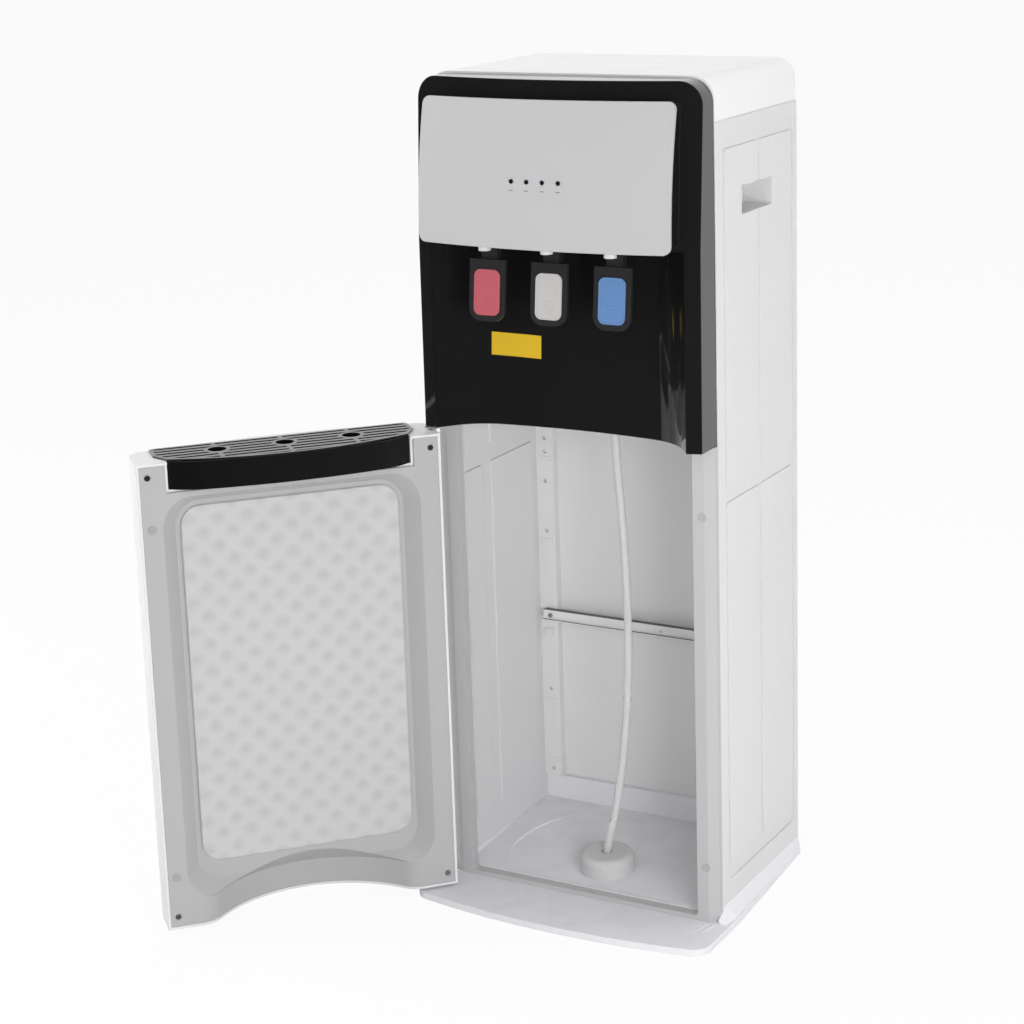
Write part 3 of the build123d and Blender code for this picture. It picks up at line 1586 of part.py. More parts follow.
# ---- Write every piece ---------------------------------------------------------------------------------------

# Route of the supply hose: straight out of the gland, a loose bow, straight into the cap.
cap_lean = math.radians(floor_slope)


def above_cap(distance):
    """A point on the axis of the cap, this far above the underside of its collar."""
    rise = cap_height - cap_wall - collar_height + distance
    return (cap_x, cap_y - rise * math.sin(cap_lean), floor_at_cap + rise * math.cos(cap_lean))


hose_top = deck_underside - hose_gland_drop
hose_points = [
    (hose_x, hose_y, hose_top),
    (hose_x, hose_y, hose_top - hose_first_run),
]
hose_span = hose_top - hose_first_run - above_cap(hose_last_run)[2]
for hose_side, hose_depth, hose_share in hose_stations:
    hose_points.append((hose_side, hose_depth, above_cap(hose_last_run)[2] + hose_share * hose_span))
hose_points += [above_cap(hose_last_run), above_cap(0.0)]

nodes = {
    "base_tray": base_tray(),
    "front_frame": front_frame(),
    "frame_catches": frame_catches(),
    "left_side_panel": side_panel(-1),
    "right_side_panel": side_panel(1),
    "left_handle_cup": handle_cup(-1),
    "right_handle_cup": handle_cup(1),
    "rear_liner": rear_liner(),
    "left_corner_post": corner_post(-1),
    "right_corner_post": corner_post(1),
    "rear_brace": rear_brace(),
    "brace_screws": brace_screws(),
    "machine_deck": machine_deck(),
    "back_sheet": back_sheet(),
    "top_cover": top_cover(),
    "bezel_frame": bezel_frame(),
    "alcove_panel": alcove_panel(),
    "control_plate": control_plate(),
    "control_board": control_board(),
    "indicator_leds": indicator_leds(),
    "notice_label": label_sheet(),
    "pivot_carrier": pivot_carrier(),
    "pivot_rod": pivot_rod(),
    "paddle_switches": paddle_switches(),
    "cold_tank": cold_tank(),
    "compressor": compressor(),
    "tank_shelf": tank_shelf(),
    "hot_tank": hot_tank(),
    "pump": pump(),
    "condenser": condenser(),
    "feed_pipes": feed_pipes(),
    "tank_pipes": tank_pipes(),
    "hose_gland": hose_gland(),
    "supply_hose": supply_hose(),
    "bottle_cap": bottle_cap(),
    "cap_collar": cap_collar(),
    "door_outer_shell": door_outer_shell(),
    "door_inner_panel": door_inner_panel(),
    "door_quilt_sheet": door_quilt_sheet(),
    "door_screws": door_screws(),
    "door_catches": door_catches(),
    "hinge_top": hinge_top(),
    "hinge_bottom": hinge_bottom(),
    "drip_tray": drip_tray(),
    "drip_grille": drip_grille(),
    "switch_plate": switch_plate(),
    "power_inlet": power_inlet(),
    "drain_plug": drain_plug(),
}
for tap, tap_x in zip(tap_names, tap_positions):
    nodes["nozzle_" + tap] = nozzle(tap_x)
    nodes["paddle_" + tap] = paddle(tap_x)
    nodes["paddle_inset_" + tap] = paddle_inset(tap_x)
for rocker_name, rocker_x in zip(("heating", "cooling"), rocker_positions()):
    nodes["rocker_" + rocker_name] = rocker(rocker_x)

os.makedirs("parts", exist_ok=True)
for name, shape in nodes.items():
    export_step(shape, "parts/" + name + ".step")
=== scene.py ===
import math
import bpy
import bmesh
from mathutils import Matrix, Vector


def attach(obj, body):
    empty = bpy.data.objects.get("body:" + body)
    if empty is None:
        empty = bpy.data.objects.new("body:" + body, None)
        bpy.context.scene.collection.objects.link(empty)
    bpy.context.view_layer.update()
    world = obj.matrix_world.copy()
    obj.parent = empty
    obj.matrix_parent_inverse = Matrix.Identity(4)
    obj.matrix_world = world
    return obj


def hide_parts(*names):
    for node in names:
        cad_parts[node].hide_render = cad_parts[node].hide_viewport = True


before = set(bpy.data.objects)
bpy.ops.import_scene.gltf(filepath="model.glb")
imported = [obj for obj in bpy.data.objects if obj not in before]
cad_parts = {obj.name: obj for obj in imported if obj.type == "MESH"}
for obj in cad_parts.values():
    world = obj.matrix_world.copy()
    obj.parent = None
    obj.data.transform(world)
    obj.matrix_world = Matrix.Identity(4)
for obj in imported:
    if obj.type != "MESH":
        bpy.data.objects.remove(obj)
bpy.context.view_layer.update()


# Base tray: one injection moulding in light grey white plastic. The cabinet stands on it, its
# floor dips to a shallow round seat for the bottle's cap, and its front runs out in a bowed
# apron with a thin rounded lip. It is the dustiest piece, as everything lands on it.
base_colour = (0.83, 0.83, 0.86)
base_roughness = 0.42
base_grain = 900.0
plastic_ior = 1.47
lacquer_roughness = 0.05
shadow_tint = (0.0, 0.0, 0.02, 1.0)
dust_grey = (0.46, 0.45, 0.43, 1.0)


def new_group(name, inputs, outputs):
    """An empty node group with these sockets, (name, kind, value) each, and its end nodes."""
    group = bpy.data.node_groups.new(name, "ShaderNodeTree")
    for label, kind, value in inputs:
        socket = group.interface.new_socket(name=label, in_out="INPUT", socket_type=kind)
        socket.default_value = value
    for label, kind in outputs:
        group.interface.new_socket(name=label, in_out="OUTPUT", socket_type=kind)
    return group, group.nodes.new("NodeGroupInput"), group.nodes.new("NodeGroupOutput")


def place(tree, kind, links=(), **settings):
    """A new node of that kind with its settings; links pairs an output or value with an input."""
    node = tree.nodes.new(kind)
    for name, value in settings.items():
        setattr(node, name, value)
    for source, target in links:
        if hasattr(source, "is_output"):
            tree.links.new(source, node.inputs[target])
        else:
            node.inputs[target].default_value = source
    return node


def math_node(tree, operation, first, second=None):
    """The output of one Math node on two values or outputs."""
    links = ((first, 0),) if second is None else ((first, 0), (second, 1))
    return place(tree, "ShaderNodeMath", links, operation=operation).outputs[0]


def map_range(tree, value, low, high, new_low=0.0, new_high=1.0):
    """The value, taken from low and high to the new limits and held between them."""
    links = (
        (value, "Value"), (low, "From Min"), (high, "From Max"),
        (new_low, "To Min"), (new_high, "To Max"),
    )
    return place(tree, "ShaderNodeMapRange", links).outputs[0]


def noise(tree, where, scale, detail):
    """The strength of a noise at that place."""
    links = ((where, "Vector"), (scale, "Scale"), (detail, "Detail"))
    return place(tree, "ShaderNodeTexNoise", links).outputs[0]


def bump(tree, height, distance, normal=None, strength=1.0):
    """The normal that a height field gives, laid over another normal if there is one."""
    links = [(strength, "Strength"), (distance, "Distance"), (height, "Height")]
    if normal is not None:
        links.append((normal, "Normal"))
    return place(tree, "ShaderNodeBump", links).outputs[0]


def mixed_colour(tree, mask, below, above, **settings):
    """The colour that goes from the one below to the one above with the mask."""
    links = ((mask, "Factor"), (below, 6), (above, 7))
    return place(tree, "ShaderNodeMix", links, data_type="RGBA", **settings).outputs[2]


def split(tree, kind, output):
    """The X, Y and Z of what a new node of that kind gives at that output."""
    source = place(tree, kind).outputs[output]
    return place(tree, "ShaderNodeSeparateXYZ", ((source, "Vector"),)).outputs


def give_out(group, made, **sockets):
    """Joins these sockets to the outputs of a group, whose names they carry."""
    for name, socket in sockets.items():
        group.links.new(socket, made.inputs[name])


def build_moulded_skin():
    """Moulded plastic: a colour that drifts a little over the piece, a fine grain left by the
    mould, a long soft wave that bends reflections, and dust on what faces up."""
    group, given, made = new_group(
        "moulded skin",
        (
            ("Colour", "NodeSocketColor", (0.8, 0.8, 0.8, 1.0)),
            ("Drift", "NodeSocketFloat", 0.04),
            ("Roughness", "NodeSocketFloat", 0.4),
            ("Grain Size", "NodeSocketFloat", 900.0),
            ("Grain Depth", "NodeSocketFloat", 0.00003),
            ("Wave Depth", "NodeSocketFloat", 0.0002),
            ("Dust", "NodeSocketFloat", 0.1),
            ("Edge Round", "NodeSocketFloat", 0.0006),
        ),
        (
            ("Colour", "NodeSocketColor"),
            ("Roughness", "NodeSocketFloat"),
            ("Normal", "NodeSocketVector"),
        ),
    )
    values = given.outputs
    where = place(group, "ShaderNodeTexCoord").outputs["Object"]
    cloud = noise(group, where, 7.0, 3.0)
    grain = noise(group, where, values["Grain Size"], 2.0)
    wave = noise(group, where, 22.0, 0.0)
    fleck = noise(group, where, 38.0, 6.0)
    drifted = math_node(group, "MULTIPLY", cloud, values["Drift"])
    tinted = mixed_colour(group, drifted, values["Colour"], shadow_tint, blend_type="MULTIPLY")
    facing = split(group, "ShaderNodeNewGeometry", "Normal")
    lying = map_range(group, facing["Z"], 0.6, 1.0)
    settled = math_node(group, "MULTIPLY", lying, map_range(group, fleck, 0.42, 0.68))
    dusted = math_node(group, "MULTIPLY", settled, values["Dust"])
    dusty = mixed_colour(group, dusted, tinted, dust_grey)
    uneven = map_range(group, cloud, 0.3, 0.7, -0.04, 0.04)
    rough = math_node(group, "ADD", values["Roughness"], uneven)
    rougher = math_node(group, "ADD", rough, dusted)
    eased = place(group, "ShaderNodeBevel", ((values["Edge Round"], "Radius"),), samples=4)
    waved = bump(group, wave, values["Wave Depth"], eased.outputs[0])
    grained = bump(group, grain, values["Grain Depth"], waved)
    give_out(group, made, Colour=dusty, Roughness=rougher, Normal=grained)
    return group


moulded_skin = build_moulded_skin()


def surface_of(material):
    """The input sockets of the surface of a material."""
    return material.node_tree.nodes["Principled BSDF"].inputs


def skinned(name, group, values):
    """A material that takes its colour, roughness and normal from a group with these values."""
    material = bpy.data.materials.new(name)
    material.use_nodes = True
    tree = material.node_tree
    skin = place(tree, "ShaderNodeGroup", node_tree=group)
    for label, value in values.items():
        skin.inputs[label].default_value = value
    tree.links.new(skin.outputs["Colour"], surface_of(material)["Base Color"])
    tree.links.new(skin.outputs["Roughness"], surface_of(material)["Roughness"])
    tree.links.new(skin.outputs["Normal"], surface_of(material)["Normal"])
    return material


def moulded(name, colour, roughness, grain=900.0, depth=0.00003, wave=0.0002, drift=0.04,
            dust=0.05, coat=0.0, edge=0.0006):
    """A moulded plastic material with these values."""
    material = skinned(name, moulded_skin, {
        "Colour": (*colour, 1.0), "Drift": drift, "Roughness": roughness, "Grain Size": grain,
        "Grain Depth": depth, "Wave Depth": wave, "Dust": dust, "Edge Round": edge,
    })
    surface_of(material)["IOR"].default_value = plastic_ior
    surface_of(material)["Coat Weight"].default_value = coat
    surface_of(material)["Coat Roughness"].default_value = lacquer_roughness
    return material


def coat_nodes(material, *names):
    """Gives these CAD nodes that material."""
    for name in names:
        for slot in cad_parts[name].material_slots:
            slot.material = material


base_plastic = moulded(
    "base plastic", base_colour, base_roughness, grain=base_grain, depth=0.00004, dust=0.12,
    edge=0.0012,
)
coat_nodes(base_plastic, "base_tray")


# Side panels and top cover: large satin white mouldings with pressed fields that stiffen them.
# The cover is given a whiter colour than the sides, painted light for the extra light it catches
# from above.
cabinet_colour = (0.72, 0.72, 0.728)
cover_lit_colour = (0.88, 0.88, 0.885)
cabinet_plastic = moulded(
    "cabinet plastic", cabinet_colour, 0.38, grain=700.0, depth=0.00005, wave=0.0004, edge=0.0010,
)
coat_nodes(
    cabinet_plastic, "left_side_panel", "right_side_panel", "left_handle_cup", "right_handle_cup",
)
cover_plastic = moulded(
    "cover plastic", cover_lit_colour, 0.36, grain=700.0, depth=0.00005, wave=0.0004, edge=0.0010,
)
coat_nodes(cover_plastic, "top_cover")


# Compartment lining, corner posts and deck: thinner matt white sheet and mouldings, with a
# finer grain than the outside.
liner_colour = (0.81, 0.805, 0.81)
liner_plastic = moulded("liner plastic", liner_colour, 0.5, grain=1200.0, depth=0.00003)
coat_nodes(liner_plastic, "rear_liner", "left_corner_post", "right_corner_post", "machine_deck")


# Front frame: the white moulding that the door shuts on, with light grey catches let into its
# right jamb.
# Its white is darker than the lining's and the door shell's: painted shade that tones down its
# front-facing jambs.
frame_shaded_colour = (0.51, 0.51, 0.517)
frame_catch_colour = (0.44, 0.44, 0.45)
frame_plastic = moulded("frame plastic", frame_shaded_colour, 0.36, grain=900.0, edge=0.0012)
coat_nodes(frame_plastic, "front_frame")
frame_catch_grey = moulded("frame catch plastic", frame_catch_colour, 0.45)
coat_nodes(frame_catch_grey, "frame_catches")


# Metal pieces: the brace, painted white, with painted shade on its upward faces standing in
# for the shadow lines along its lips, then screws, pins, tanks and the painted back sheet.
brace_colour = (0.84, 0.84, 0.845)
brace_shade_colour = (0.10, 0.10, 0.10)
brace_shade_facing = 0.7
crystal_tint = (0.45, 0.46, 0.48, 1.0)
rolling_size, rolling_depth = 400.0, 0.00005


def build_metal_skin():
    """Rolled or plated metal: soft crystals of zinc, faint lines of rolling and dull patches."""
    group, given, made = new_group(
        "metal skin",
        (
            ("Colour", "NodeSocketColor", (0.6, 0.6, 0.6, 1.0)),
            ("Roughness", "NodeSocketFloat", 0.35),
            ("Crystal Size", "NodeSocketFloat", 120.0),
            ("Crystals", "NodeSocketFloat", 0.3),
        ),
        (
            ("Colour", "NodeSocketColor"),
            ("Roughness", "NodeSocketFloat"),
            ("Normal", "NodeSocketVector"),
        ),
    )
    values = given.outputs
    where = place(group, "ShaderNodeTexCoord").outputs["Object"]
    sizes = ((where, "Vector"), (values["Crystal Size"], "Scale"))
    crystal = place(group, "ShaderNodeTexVoronoi", sizes)
    shade = place(group, "ShaderNodeSeparateColor", ((crystal.outputs["Color"], "Color"),))
    amount = math_node(group, "MULTIPLY", shade.outputs[0], values["Crystals"])
    mixed = mixed_colour(group, amount, values["Colour"], crystal_tint, blend_type="MULTIPLY")
    dull = math_node(group, "MULTIPLY", amount, 0.3)
    rough = math_node(group, "ADD", values["Roughness"], dull)
    rolled = bump(group, noise(group, where, rolling_size, 3.0), rolling_depth, strength=0.4)
    give_out(group, made, Colour=mixed, Roughness=rough, Normal=rolled)
    return group


metal_skin = build_metal_skin()


def metal(name, colour, roughness, crystal_size=120.0, crystals=0.3):
    """A metal material with these values."""
    material = skinned(name, metal_skin, {
        "Colour": (*colour, 1.0), "Roughness": roughness, "Crystal Size": crystal_size,
        "Crystals": crystals,
    })
    surface_of(material)["Metallic"].default_value = 1.0
    return material


def join_colour(material, mask, colour):
    """Lays that colour over the skin of a material where the mask is 1."""
    tree = material.node_tree
    base = surface_of(material)["Base Color"]
    below = base.links[0].from_socket
    tree.links.new(mixed_colour(tree, mask, below, (*colour, 1.0)), base)


brace_paint = moulded("brace paint", brace_colour, 0.42, grain=1500.0, depth=0.00003)
brace_tree = brace_paint.node_tree
# Painted shade: faces of the brace that point up are coloured dark, for the shadow lines under
# its lips.
brace_facing = split(brace_tree, "ShaderNodeNewGeometry", "Normal")
brace_shade_mask = math_node(brace_tree, "GREATER_THAN", brace_facing["Z"], brace_shade_facing)
join_colour(brace_paint, brace_shade_mask, brace_shade_colour)
coat_nodes(brace_paint, "rear_brace")
screw_steel = metal("screw steel", (0.42, 0.42, 0.43), 0.38, 600.0, 0.4)
coat_nodes(screw_steel, "brace_screws", "door_screws")
pin_steel = metal("pin steel", (0.62, 0.63, 0.64), 0.25, 900.0, 0.2)
coat_nodes(pin_steel, "pivot_rod", "hinge_top", "hinge_bottom")
tank_steel = metal("tank steel", (0.60, 0.60, 0.61), 0.3, 300.0, 0.2)
coat_nodes(tank_steel, "hot_tank", "tank_shelf")
back_paint = moulded("back sheet paint", (0.74, 0.74, 0.75), 0.45, grain=1500.0, depth=0.00006)
coat_nodes(back_paint, "back_sheet")


# Machinery above the deck: foam jacket of the cold tank, enamelled compressor and pump, coated
# condenser fins, and pale rubber pipes.
foam_jacket = moulded("foam jacket", (0.09, 0.095, 0.10), 0.8, grain=350.0, depth=0.0003)
coat_nodes(foam_jacket, "cold_tank")
black_enamel = moulded("black enamel", (0.012, 0.012, 0.013), 0.25, wave=0.0005)
coat_nodes(black_enamel, "compressor", "pump")
fin_black = moulded("fin coating", (0.02, 0.02, 0.02), 0.5)
coat_nodes(fin_black, "condenser")
pipe_rubber = moulded("pipe rubber", (0.75, 0.75, 0.74), 0.45)
coat_nodes(pipe_rubber, "feed_pipes", "tank_pipes")


# Bezel: gloss black moulding, polished, with the dispensing hollow behind its arch. The small
# fittings in it and the plate on the back are matt black.
bezel_gloss = moulded(
    "bezel gloss", (0.012, 0.012, 0.0125), 0.09, grain=1500.0, depth=0.000004, wave=0.00006,
    drift=0.2, dust=0.01, coat=0.6, edge=0.0016,
)
coat_nodes(bezel_gloss, "bezel_frame", "alcove_panel")
fitting_black = moulded("fitting plastic", (0.02, 0.02, 0.021), 0.45, grain=1100.0, depth=0.00004)
coat_nodes(fitting_black, "pivot_carrier", "paddle_switches", "power_inlet", "switch_plate")


# Control plate: painted fine silver, matt, with a thin polished edge. Four dark lamps show in
# it, each with a short plain dash below.
plate_colour = (0.51, 0.51, 0.520)
mark_colour = (0.16, 0.16, 0.17)
mark_count, mark_spacing, mark_height, mark_long, mark_tall = 4, 0.019, 0.8525, 0.0052, 0.0009


def printed_bars(tree, along, up, bars, soft=0.0002):
    """Mask of plain bars, each given as (middle along, middle up, half length, half height)."""
    total = None
    for middle, level, half_long, half_tall in bars:
        sideways = math_node(tree, "ABSOLUTE", math_node(tree, "SUBTRACT", along, middle))
        upwards = math_node(tree, "ABSOLUTE", math_node(tree, "SUBTRACT", up, level))
        beside = math_node(tree, "SUBTRACT", half_long, sideways)
        above = math_node(tree, "SUBTRACT", half_tall, upwards)
        shown = map_range(tree, math_node(tree, "MINIMUM", beside, above), -soft, soft)
        total = shown if total is None else math_node(tree, "MAXIMUM", total, shown)
    return total


plate_silver = moulded(
    "plate silver", plate_colour, 0.38, grain=2500.0, depth=0.00002, drift=0.06, dust=0.02,
    edge=0.0012,
)
plate_tree = plate_silver.node_tree
plate_place = split(plate_tree, "ShaderNodeTexCoord", "Object")
marks = [
    ((number - (mark_count - 1) / 2) * mark_spacing, mark_height, mark_long / 2, mark_tall / 2)
    for number in range(mark_count)
]
plate_bars = printed_bars(plate_tree, plate_place["X"], plate_place["Z"], marks)
join_colour(plate_silver, plate_bars, mark_colour)
coat_nodes(plate_silver, "control_plate")
board_green = moulded("board", (0.01, 0.06, 0.02), 0.5)
coat_nodes(board_green, "control_board")
led_dark = moulded("lamp lens", (0.01, 0.012, 0.014), 0.15)
coat_nodes(led_dark, "indicator_leds")


# Film on the alcove wall: plain yellow, stuck on a little askew, with nothing on it.
film_colour = (0.72, 0.47, 0.014)
label_yellow = moulded("label film", film_colour, 0.42, grain=1800.0, depth=0.00001)
coat_nodes(label_yellow, "notice_label")


# Taps: white nozzles and matt black paddles, each of which holds a coloured inset.
nozzle_white = moulded("nozzle plastic", (0.76, 0.76, 0.75), 0.35)
coat_nodes(nozzle_white, "nozzle_hot", "nozzle_room", "nozzle_cold")
paddle_black = moulded(
    "paddle plastic", (0.026, 0.026, 0.027), 0.36, grain=1300.0, depth=0.00004, edge=0.0009,
)
coat_nodes(paddle_black, "paddle_hot", "paddle_room", "paddle_cold")


# Paddle insets: glossy coloured plates with a thin raised rim, a crowned face and four nested
# ripples near the foot that point down to the cup. Each is pressed into its paddle.
inset_half_width, inset_half_height, inset_round = 0.0163, 0.0255, 0.008
inset_middle_z, inset_face_y, inset_back_y = 0.7321, -0.1615, -0.1586
inset_columns, inset_rows = 64, 100
inset_edge, inset_edge_drop = 0.0009, 0.0007
inset_sunk, inset_crown = 0.0010, 0.0003
inset_rim_height, inset_rim_width = 0.0007, 0.0011
ripple_count, ripple_height, ripple_width = 4, 0.0007, 0.0009
ripple_foot, ripple_pitch = -0.0195, 0.0040
ripple_reach, ripple_growth, ripple_fade = 0.0048, 0.0013, 0.0012
ripple_slant, ripple_bend = 0.34, 14.0
rod_y, rod_z, paddle_lean = -0.151, 0.800, math.radians(6.3)


def round_corners(form, half_wide, half_tall, radius):
    """Pulls the corners of a flat grid in the XY plane in to quarter rounds."""
    for vert in form.verts:
        x, y = vert.co.x, vert.co.y
        beside = abs(x) - (half_wide - radius)
        above = abs(y) - (half_tall - radius)
        if beside > 0.0 and above > 0.0 and math.hypot(beside, above) > radius:
            pull = radius / math.hypot(beside, above)
            vert.co.x = math.copysign(half_wide - radius + beside * pull, x)
            vert.co.y = math.copysign(half_tall - radius + above * pull, y)


def edge_distance(x, y, half_wide, half_tall, radius):
    """How far inside a rectangle with round corners a point lies."""
    beside = abs(x) - (half_wide - radius)
    above = abs(y) - (half_tall - radius)
    outside = math.hypot(max(beside, 0.0), max(above, 0.0))
    return radius - outside - min(max(beside, above), 0.0)


def new_object(name, data):
    """A new object of the scene that shows this mesh, curve, lamp or camera."""
    made = bpy.data.objects.new(name, data)
    bpy.context.scene.collection.objects.link(made)
    return made


def pressed_plate(name, half_wide, half_tall, radius, columns, rows, relief, depth):
    """A closed plate in the XY plane: its face follows the relief, its back lies at the depth."""
    form = bmesh.new()
    bmesh.ops.create_grid(form, x_segments=columns, y_segments=rows, size=1.0)
    bmesh.ops.scale(form, vec=(half_wide, half_tall, 1.0), verts=form.verts)
    round_corners(form, half_wide, half_tall, radius)
    rim = [edge for edge in form.edges if edge.is_boundary]
    made = bmesh.ops.extrude_edge_only(form, edges=rim)["geom"]
    fallen = [part for part in made if isinstance(part, bmesh.types.BMVert)]
    for vert in fallen:
        vert.co.z = -depth
    outline = [part for part in made if isinstance(part, bmesh.types.BMEdge)]
    bmesh.ops.contextual_create(form, geom=outline)
    low = set(fallen)
    for vert in form.verts:
        if vert not in low:
            vert.co.z = relief(vert.co.x, vert.co.y)
    bmesh.ops.recalc_face_normals(form, faces=form.faces)
    mesh = bpy.data.meshes.new(name)
    form.to_mesh(mesh)
    form.free()
    for face in mesh.polygons:
        face.use_smooth = len(face.vertices) == 4
    return new_object(name, mesh)


def turned_about(point, angle, axis):
    """The matrix of a turn about an axis through that point."""
    there = Matrix.Translation(point)
    return there @ Matrix.Rotation(angle, 4, axis) @ there.inverted()


def inset_relief(x, y):
    """Height of the face of an inset, at most 0."""
    inside = edge_distance(x, y, inset_half_width, inset_half_height, inset_round)
    if inside < inset_edge:
        return -inset_edge_drop * (1.0 - inside / inset_edge) ** 2
    rim = inset_rim_height * (1.0 - min((inside - inset_edge) / inset_rim_width, 1.0))
    domed = (1.0 - (x / inset_half_width) ** 2) * (1.0 - (y / inset_half_height) ** 2)
    height = -inset_sunk + rim + inset_crown * domed
    for number in range(ripple_count):
        reach = ripple_reach + ripple_growth * number
        middle = ripple_foot + ripple_pitch * number
        line = middle + ripple_slant * abs(x) + ripple_bend * x * x
        if abs(x) < reach:
            gap = (y - line) / ripple_width
            fade = min((reach - abs(x)) / ripple_fade, 1.0)
            height += ripple_height * fade * math.exp(-gap * gap)
    return min(height, 0.0)


inset_finishes = (
    ("hot", -0.0773, "inset_pink", (0.50, 0.112, 0.136)),
    ("room", 0.0, "inset_white", (0.52, 0.505, 0.50)),
    ("cold", 0.0773, "inset_blue", (0.125, 0.245, 0.48)),
)
for tap, tap_x, tap_slot, tap_colour in inset_finishes:
    inset = pressed_plate(
        "inset_face_" + tap, inset_half_width, inset_half_height, inset_round,
        inset_columns, inset_rows, inset_relief, inset_back_y - inset_face_y,
    )
    inset.data.transform(Matrix.Rotation(math.pi / 2, 4, "X"))
    inset.data.transform(Matrix.Translation((tap_x, inset_face_y, inset_middle_z)))
    inset.data.transform(turned_about((0.0, rod_y, rod_z), -paddle_lean, "X"))
    inset.data.materials.append(moulded(
        "inset " + tap, tap_colour, 0.28, grain=1500.0, depth=0.00001, drift=0.05, edge=0.0002,
    ))
    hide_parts("paddle_inset_" + tap)
    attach(inset, "paddle_" + tap)


# Supply hose: milky silicone tube, 9.5 mm thick, hanging from the gland in the deck to the cap
# on the floor. Its own stiffness keeps it in one long bow.
hose_colour = (0.88, 0.88, 0.87)
hose_radius = 0.00475
hose_transmission, hose_ior = 0.45, 1.33
hose_points = (
    (0.011, -0.037, 0.570), (0.011, -0.037, 0.528), (0.0205, -0.041, 0.44617),
    (0.027, -0.045, 0.35265), (0.028, -0.0485, 0.26010), (0.0225, -0.052, 0.17048),
    (0.0105, -0.055, 0.08767), (-0.0015, -0.05815, 0.04091), (-0.0015, -0.05728, 0.02694),
)
hose_curve = bpy.data.curves.new("supply_tube", "CURVE")
hose_curve.dimensions = "3D"
hose_spline = hose_curve.splines.new("NURBS")
hose_spline.points.add(len(hose_points) - 1)
for hose_control, hose_point in zip(hose_spline.points, hose_points):
    hose_control.co = (*hose_point, 1.0)
hose_spline.order_u = 3
hose_spline.use_endpoint_u = True
hose_spline.resolution_u = 24
hose_curve.bevel_depth = hose_radius
hose_curve.bevel_resolution = 8
hose_curve.use_fill_caps = True
supply_tube = new_object("supply_tube", hose_curve)
hose_milk = moulded("hose silicone", hose_colour, 0.28, grain=600.0, depth=0.00002, edge=0.0002)
surface_of(hose_milk)["Transmission Weight"].default_value = hose_transmission
surface_of(hose_milk)["IOR"].default_value = hose_ior
supply_tube.data.materials.append(hose_milk)
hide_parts("supply_hose")
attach(supply_tube, "cabinet")
cap_white = moulded("cap plastic", (0.60, 0.60, 0.605), 0.40, edge=0.0008)
coat_nodes(cap_white, "bottle_cap", "cap_collar", "hose_gland")


# Door: outer shell and inner panel, two white mouldings screwed together at the corners, and
# the grey catches on the panel's free side.
shell_plastic = moulded(
    "door shell plastic", (0.80, 0.80, 0.81), 0.36, grain=800.0, depth=0.00004, wave=0.0003,
    edge=0.0015,
)
coat_nodes(shell_plastic, "door_outer_shell")
# The inner panel's white is far darker than the shell's: painted shade on the face that turns to
# the front lamps.
panel_plastic = moulded(
    "door panel plastic", (0.46, 0.46, 0.465), 0.36, grain=800.0, depth=0.00004, wave=0.0003,
    edge=0.0018,
)
coat_nodes(panel_plastic, "door_inner_panel")
catch_grey = moulded("catch plastic", (0.38, 0.38, 0.39), 0.45)
coat_nodes(catch_grey, "door_catches")


# Embossed sheet on the floor of the door's recess: thin white plastic pressed into a lattice of
# slanting ridges with a soft dimple in each diamond, darkened with painted shade, and a row of
# small dips along its foot.
sheet_half_width, sheet_half_height, sheet_round = 0.126, 0.214, 0.024
sheet_middle_z, sheet_face_y, sheet_back_y = 0.294, -0.143, -0.146
sheet_columns, sheet_rows = 150, 255
sheet_edge, sheet_edge_drop = 0.002, 0.0008
diamond_wide, diamond_tall = 0.034, 0.033
dimple_depth, dimple_power = 0.0025, 0.75
lattice_side_margin, lattice_side_fade = 0.004, 0.010
lattice_foot_margin, lattice_foot_fade = 0.018, 0.012
dip_pitch, dip_depth, dip_long, dip_tall, dip_level = 0.033, 0.0010, 0.0055, 0.0022, 0.010
dimple_shade_colour, dimple_shade_share = (0.44, 0.44, 0.45), 0.55
hinge_x, hinge_y, door_angle = -0.169, -0.150, math.radians(133.0)


def sheet_relief(x, y):
    """Height of the face of the sheet, at most 0."""
    inside = edge_distance(x, y, sheet_half_width, sheet_half_height, sheet_round)
    from_foot = y + sheet_half_height
    rise = math.sin(math.pi * (x / diamond_wide + y / diamond_tall))
    fall = math.sin(math.pi * (x / diamond_wide - y / diamond_tall))
    dimple = (rise * fall) ** 2
    blend = min(max((inside - lattice_side_margin) / lattice_side_fade, 0.0), 1.0)
    foot = min(max((from_foot - lattice_foot_margin) / lattice_foot_fade, 0.0), 1.0)
    height = -dimple_depth * dimple ** dimple_power * blend * foot
    along = ((x / dip_pitch) % 1.0 - 0.5) * dip_pitch
    dip = math.exp(-(along / dip_long) ** 2 - ((from_foot - dip_level) / dip_tall) ** 2)
    height -= dip_depth * dip
    if inside < sheet_edge:
        height -= sheet_edge_drop * (1.0 - max(inside, 0.0) / sheet_edge) ** 2
    return height


quilt_face = pressed_plate(
    "quilt_face", sheet_half_width, sheet_half_height, sheet_round,
    sheet_columns, sheet_rows, sheet_relief, sheet_face_y - sheet_back_y,
)
quilt_face.data.transform(Matrix.Rotation(-math.pi / 2, 4, "X"))
quilt_face.data.transform(Matrix.Diagonal((1.0, 1.0, -1.0, 1.0)))
quilt_face.data.transform(Matrix.Translation((0.0, sheet_face_y, sheet_middle_z)))
quilt_face.data.transform(turned_about((hinge_x, hinge_y, 0.0), -door_angle, "Z"))
quilt_form = bmesh.new()
quilt_form.from_mesh(quilt_face.data)
bmesh.ops.recalc_face_normals(quilt_form, faces=quilt_form.faces)
quilt_form.to_mesh(quilt_face.data)
quilt_form.free()


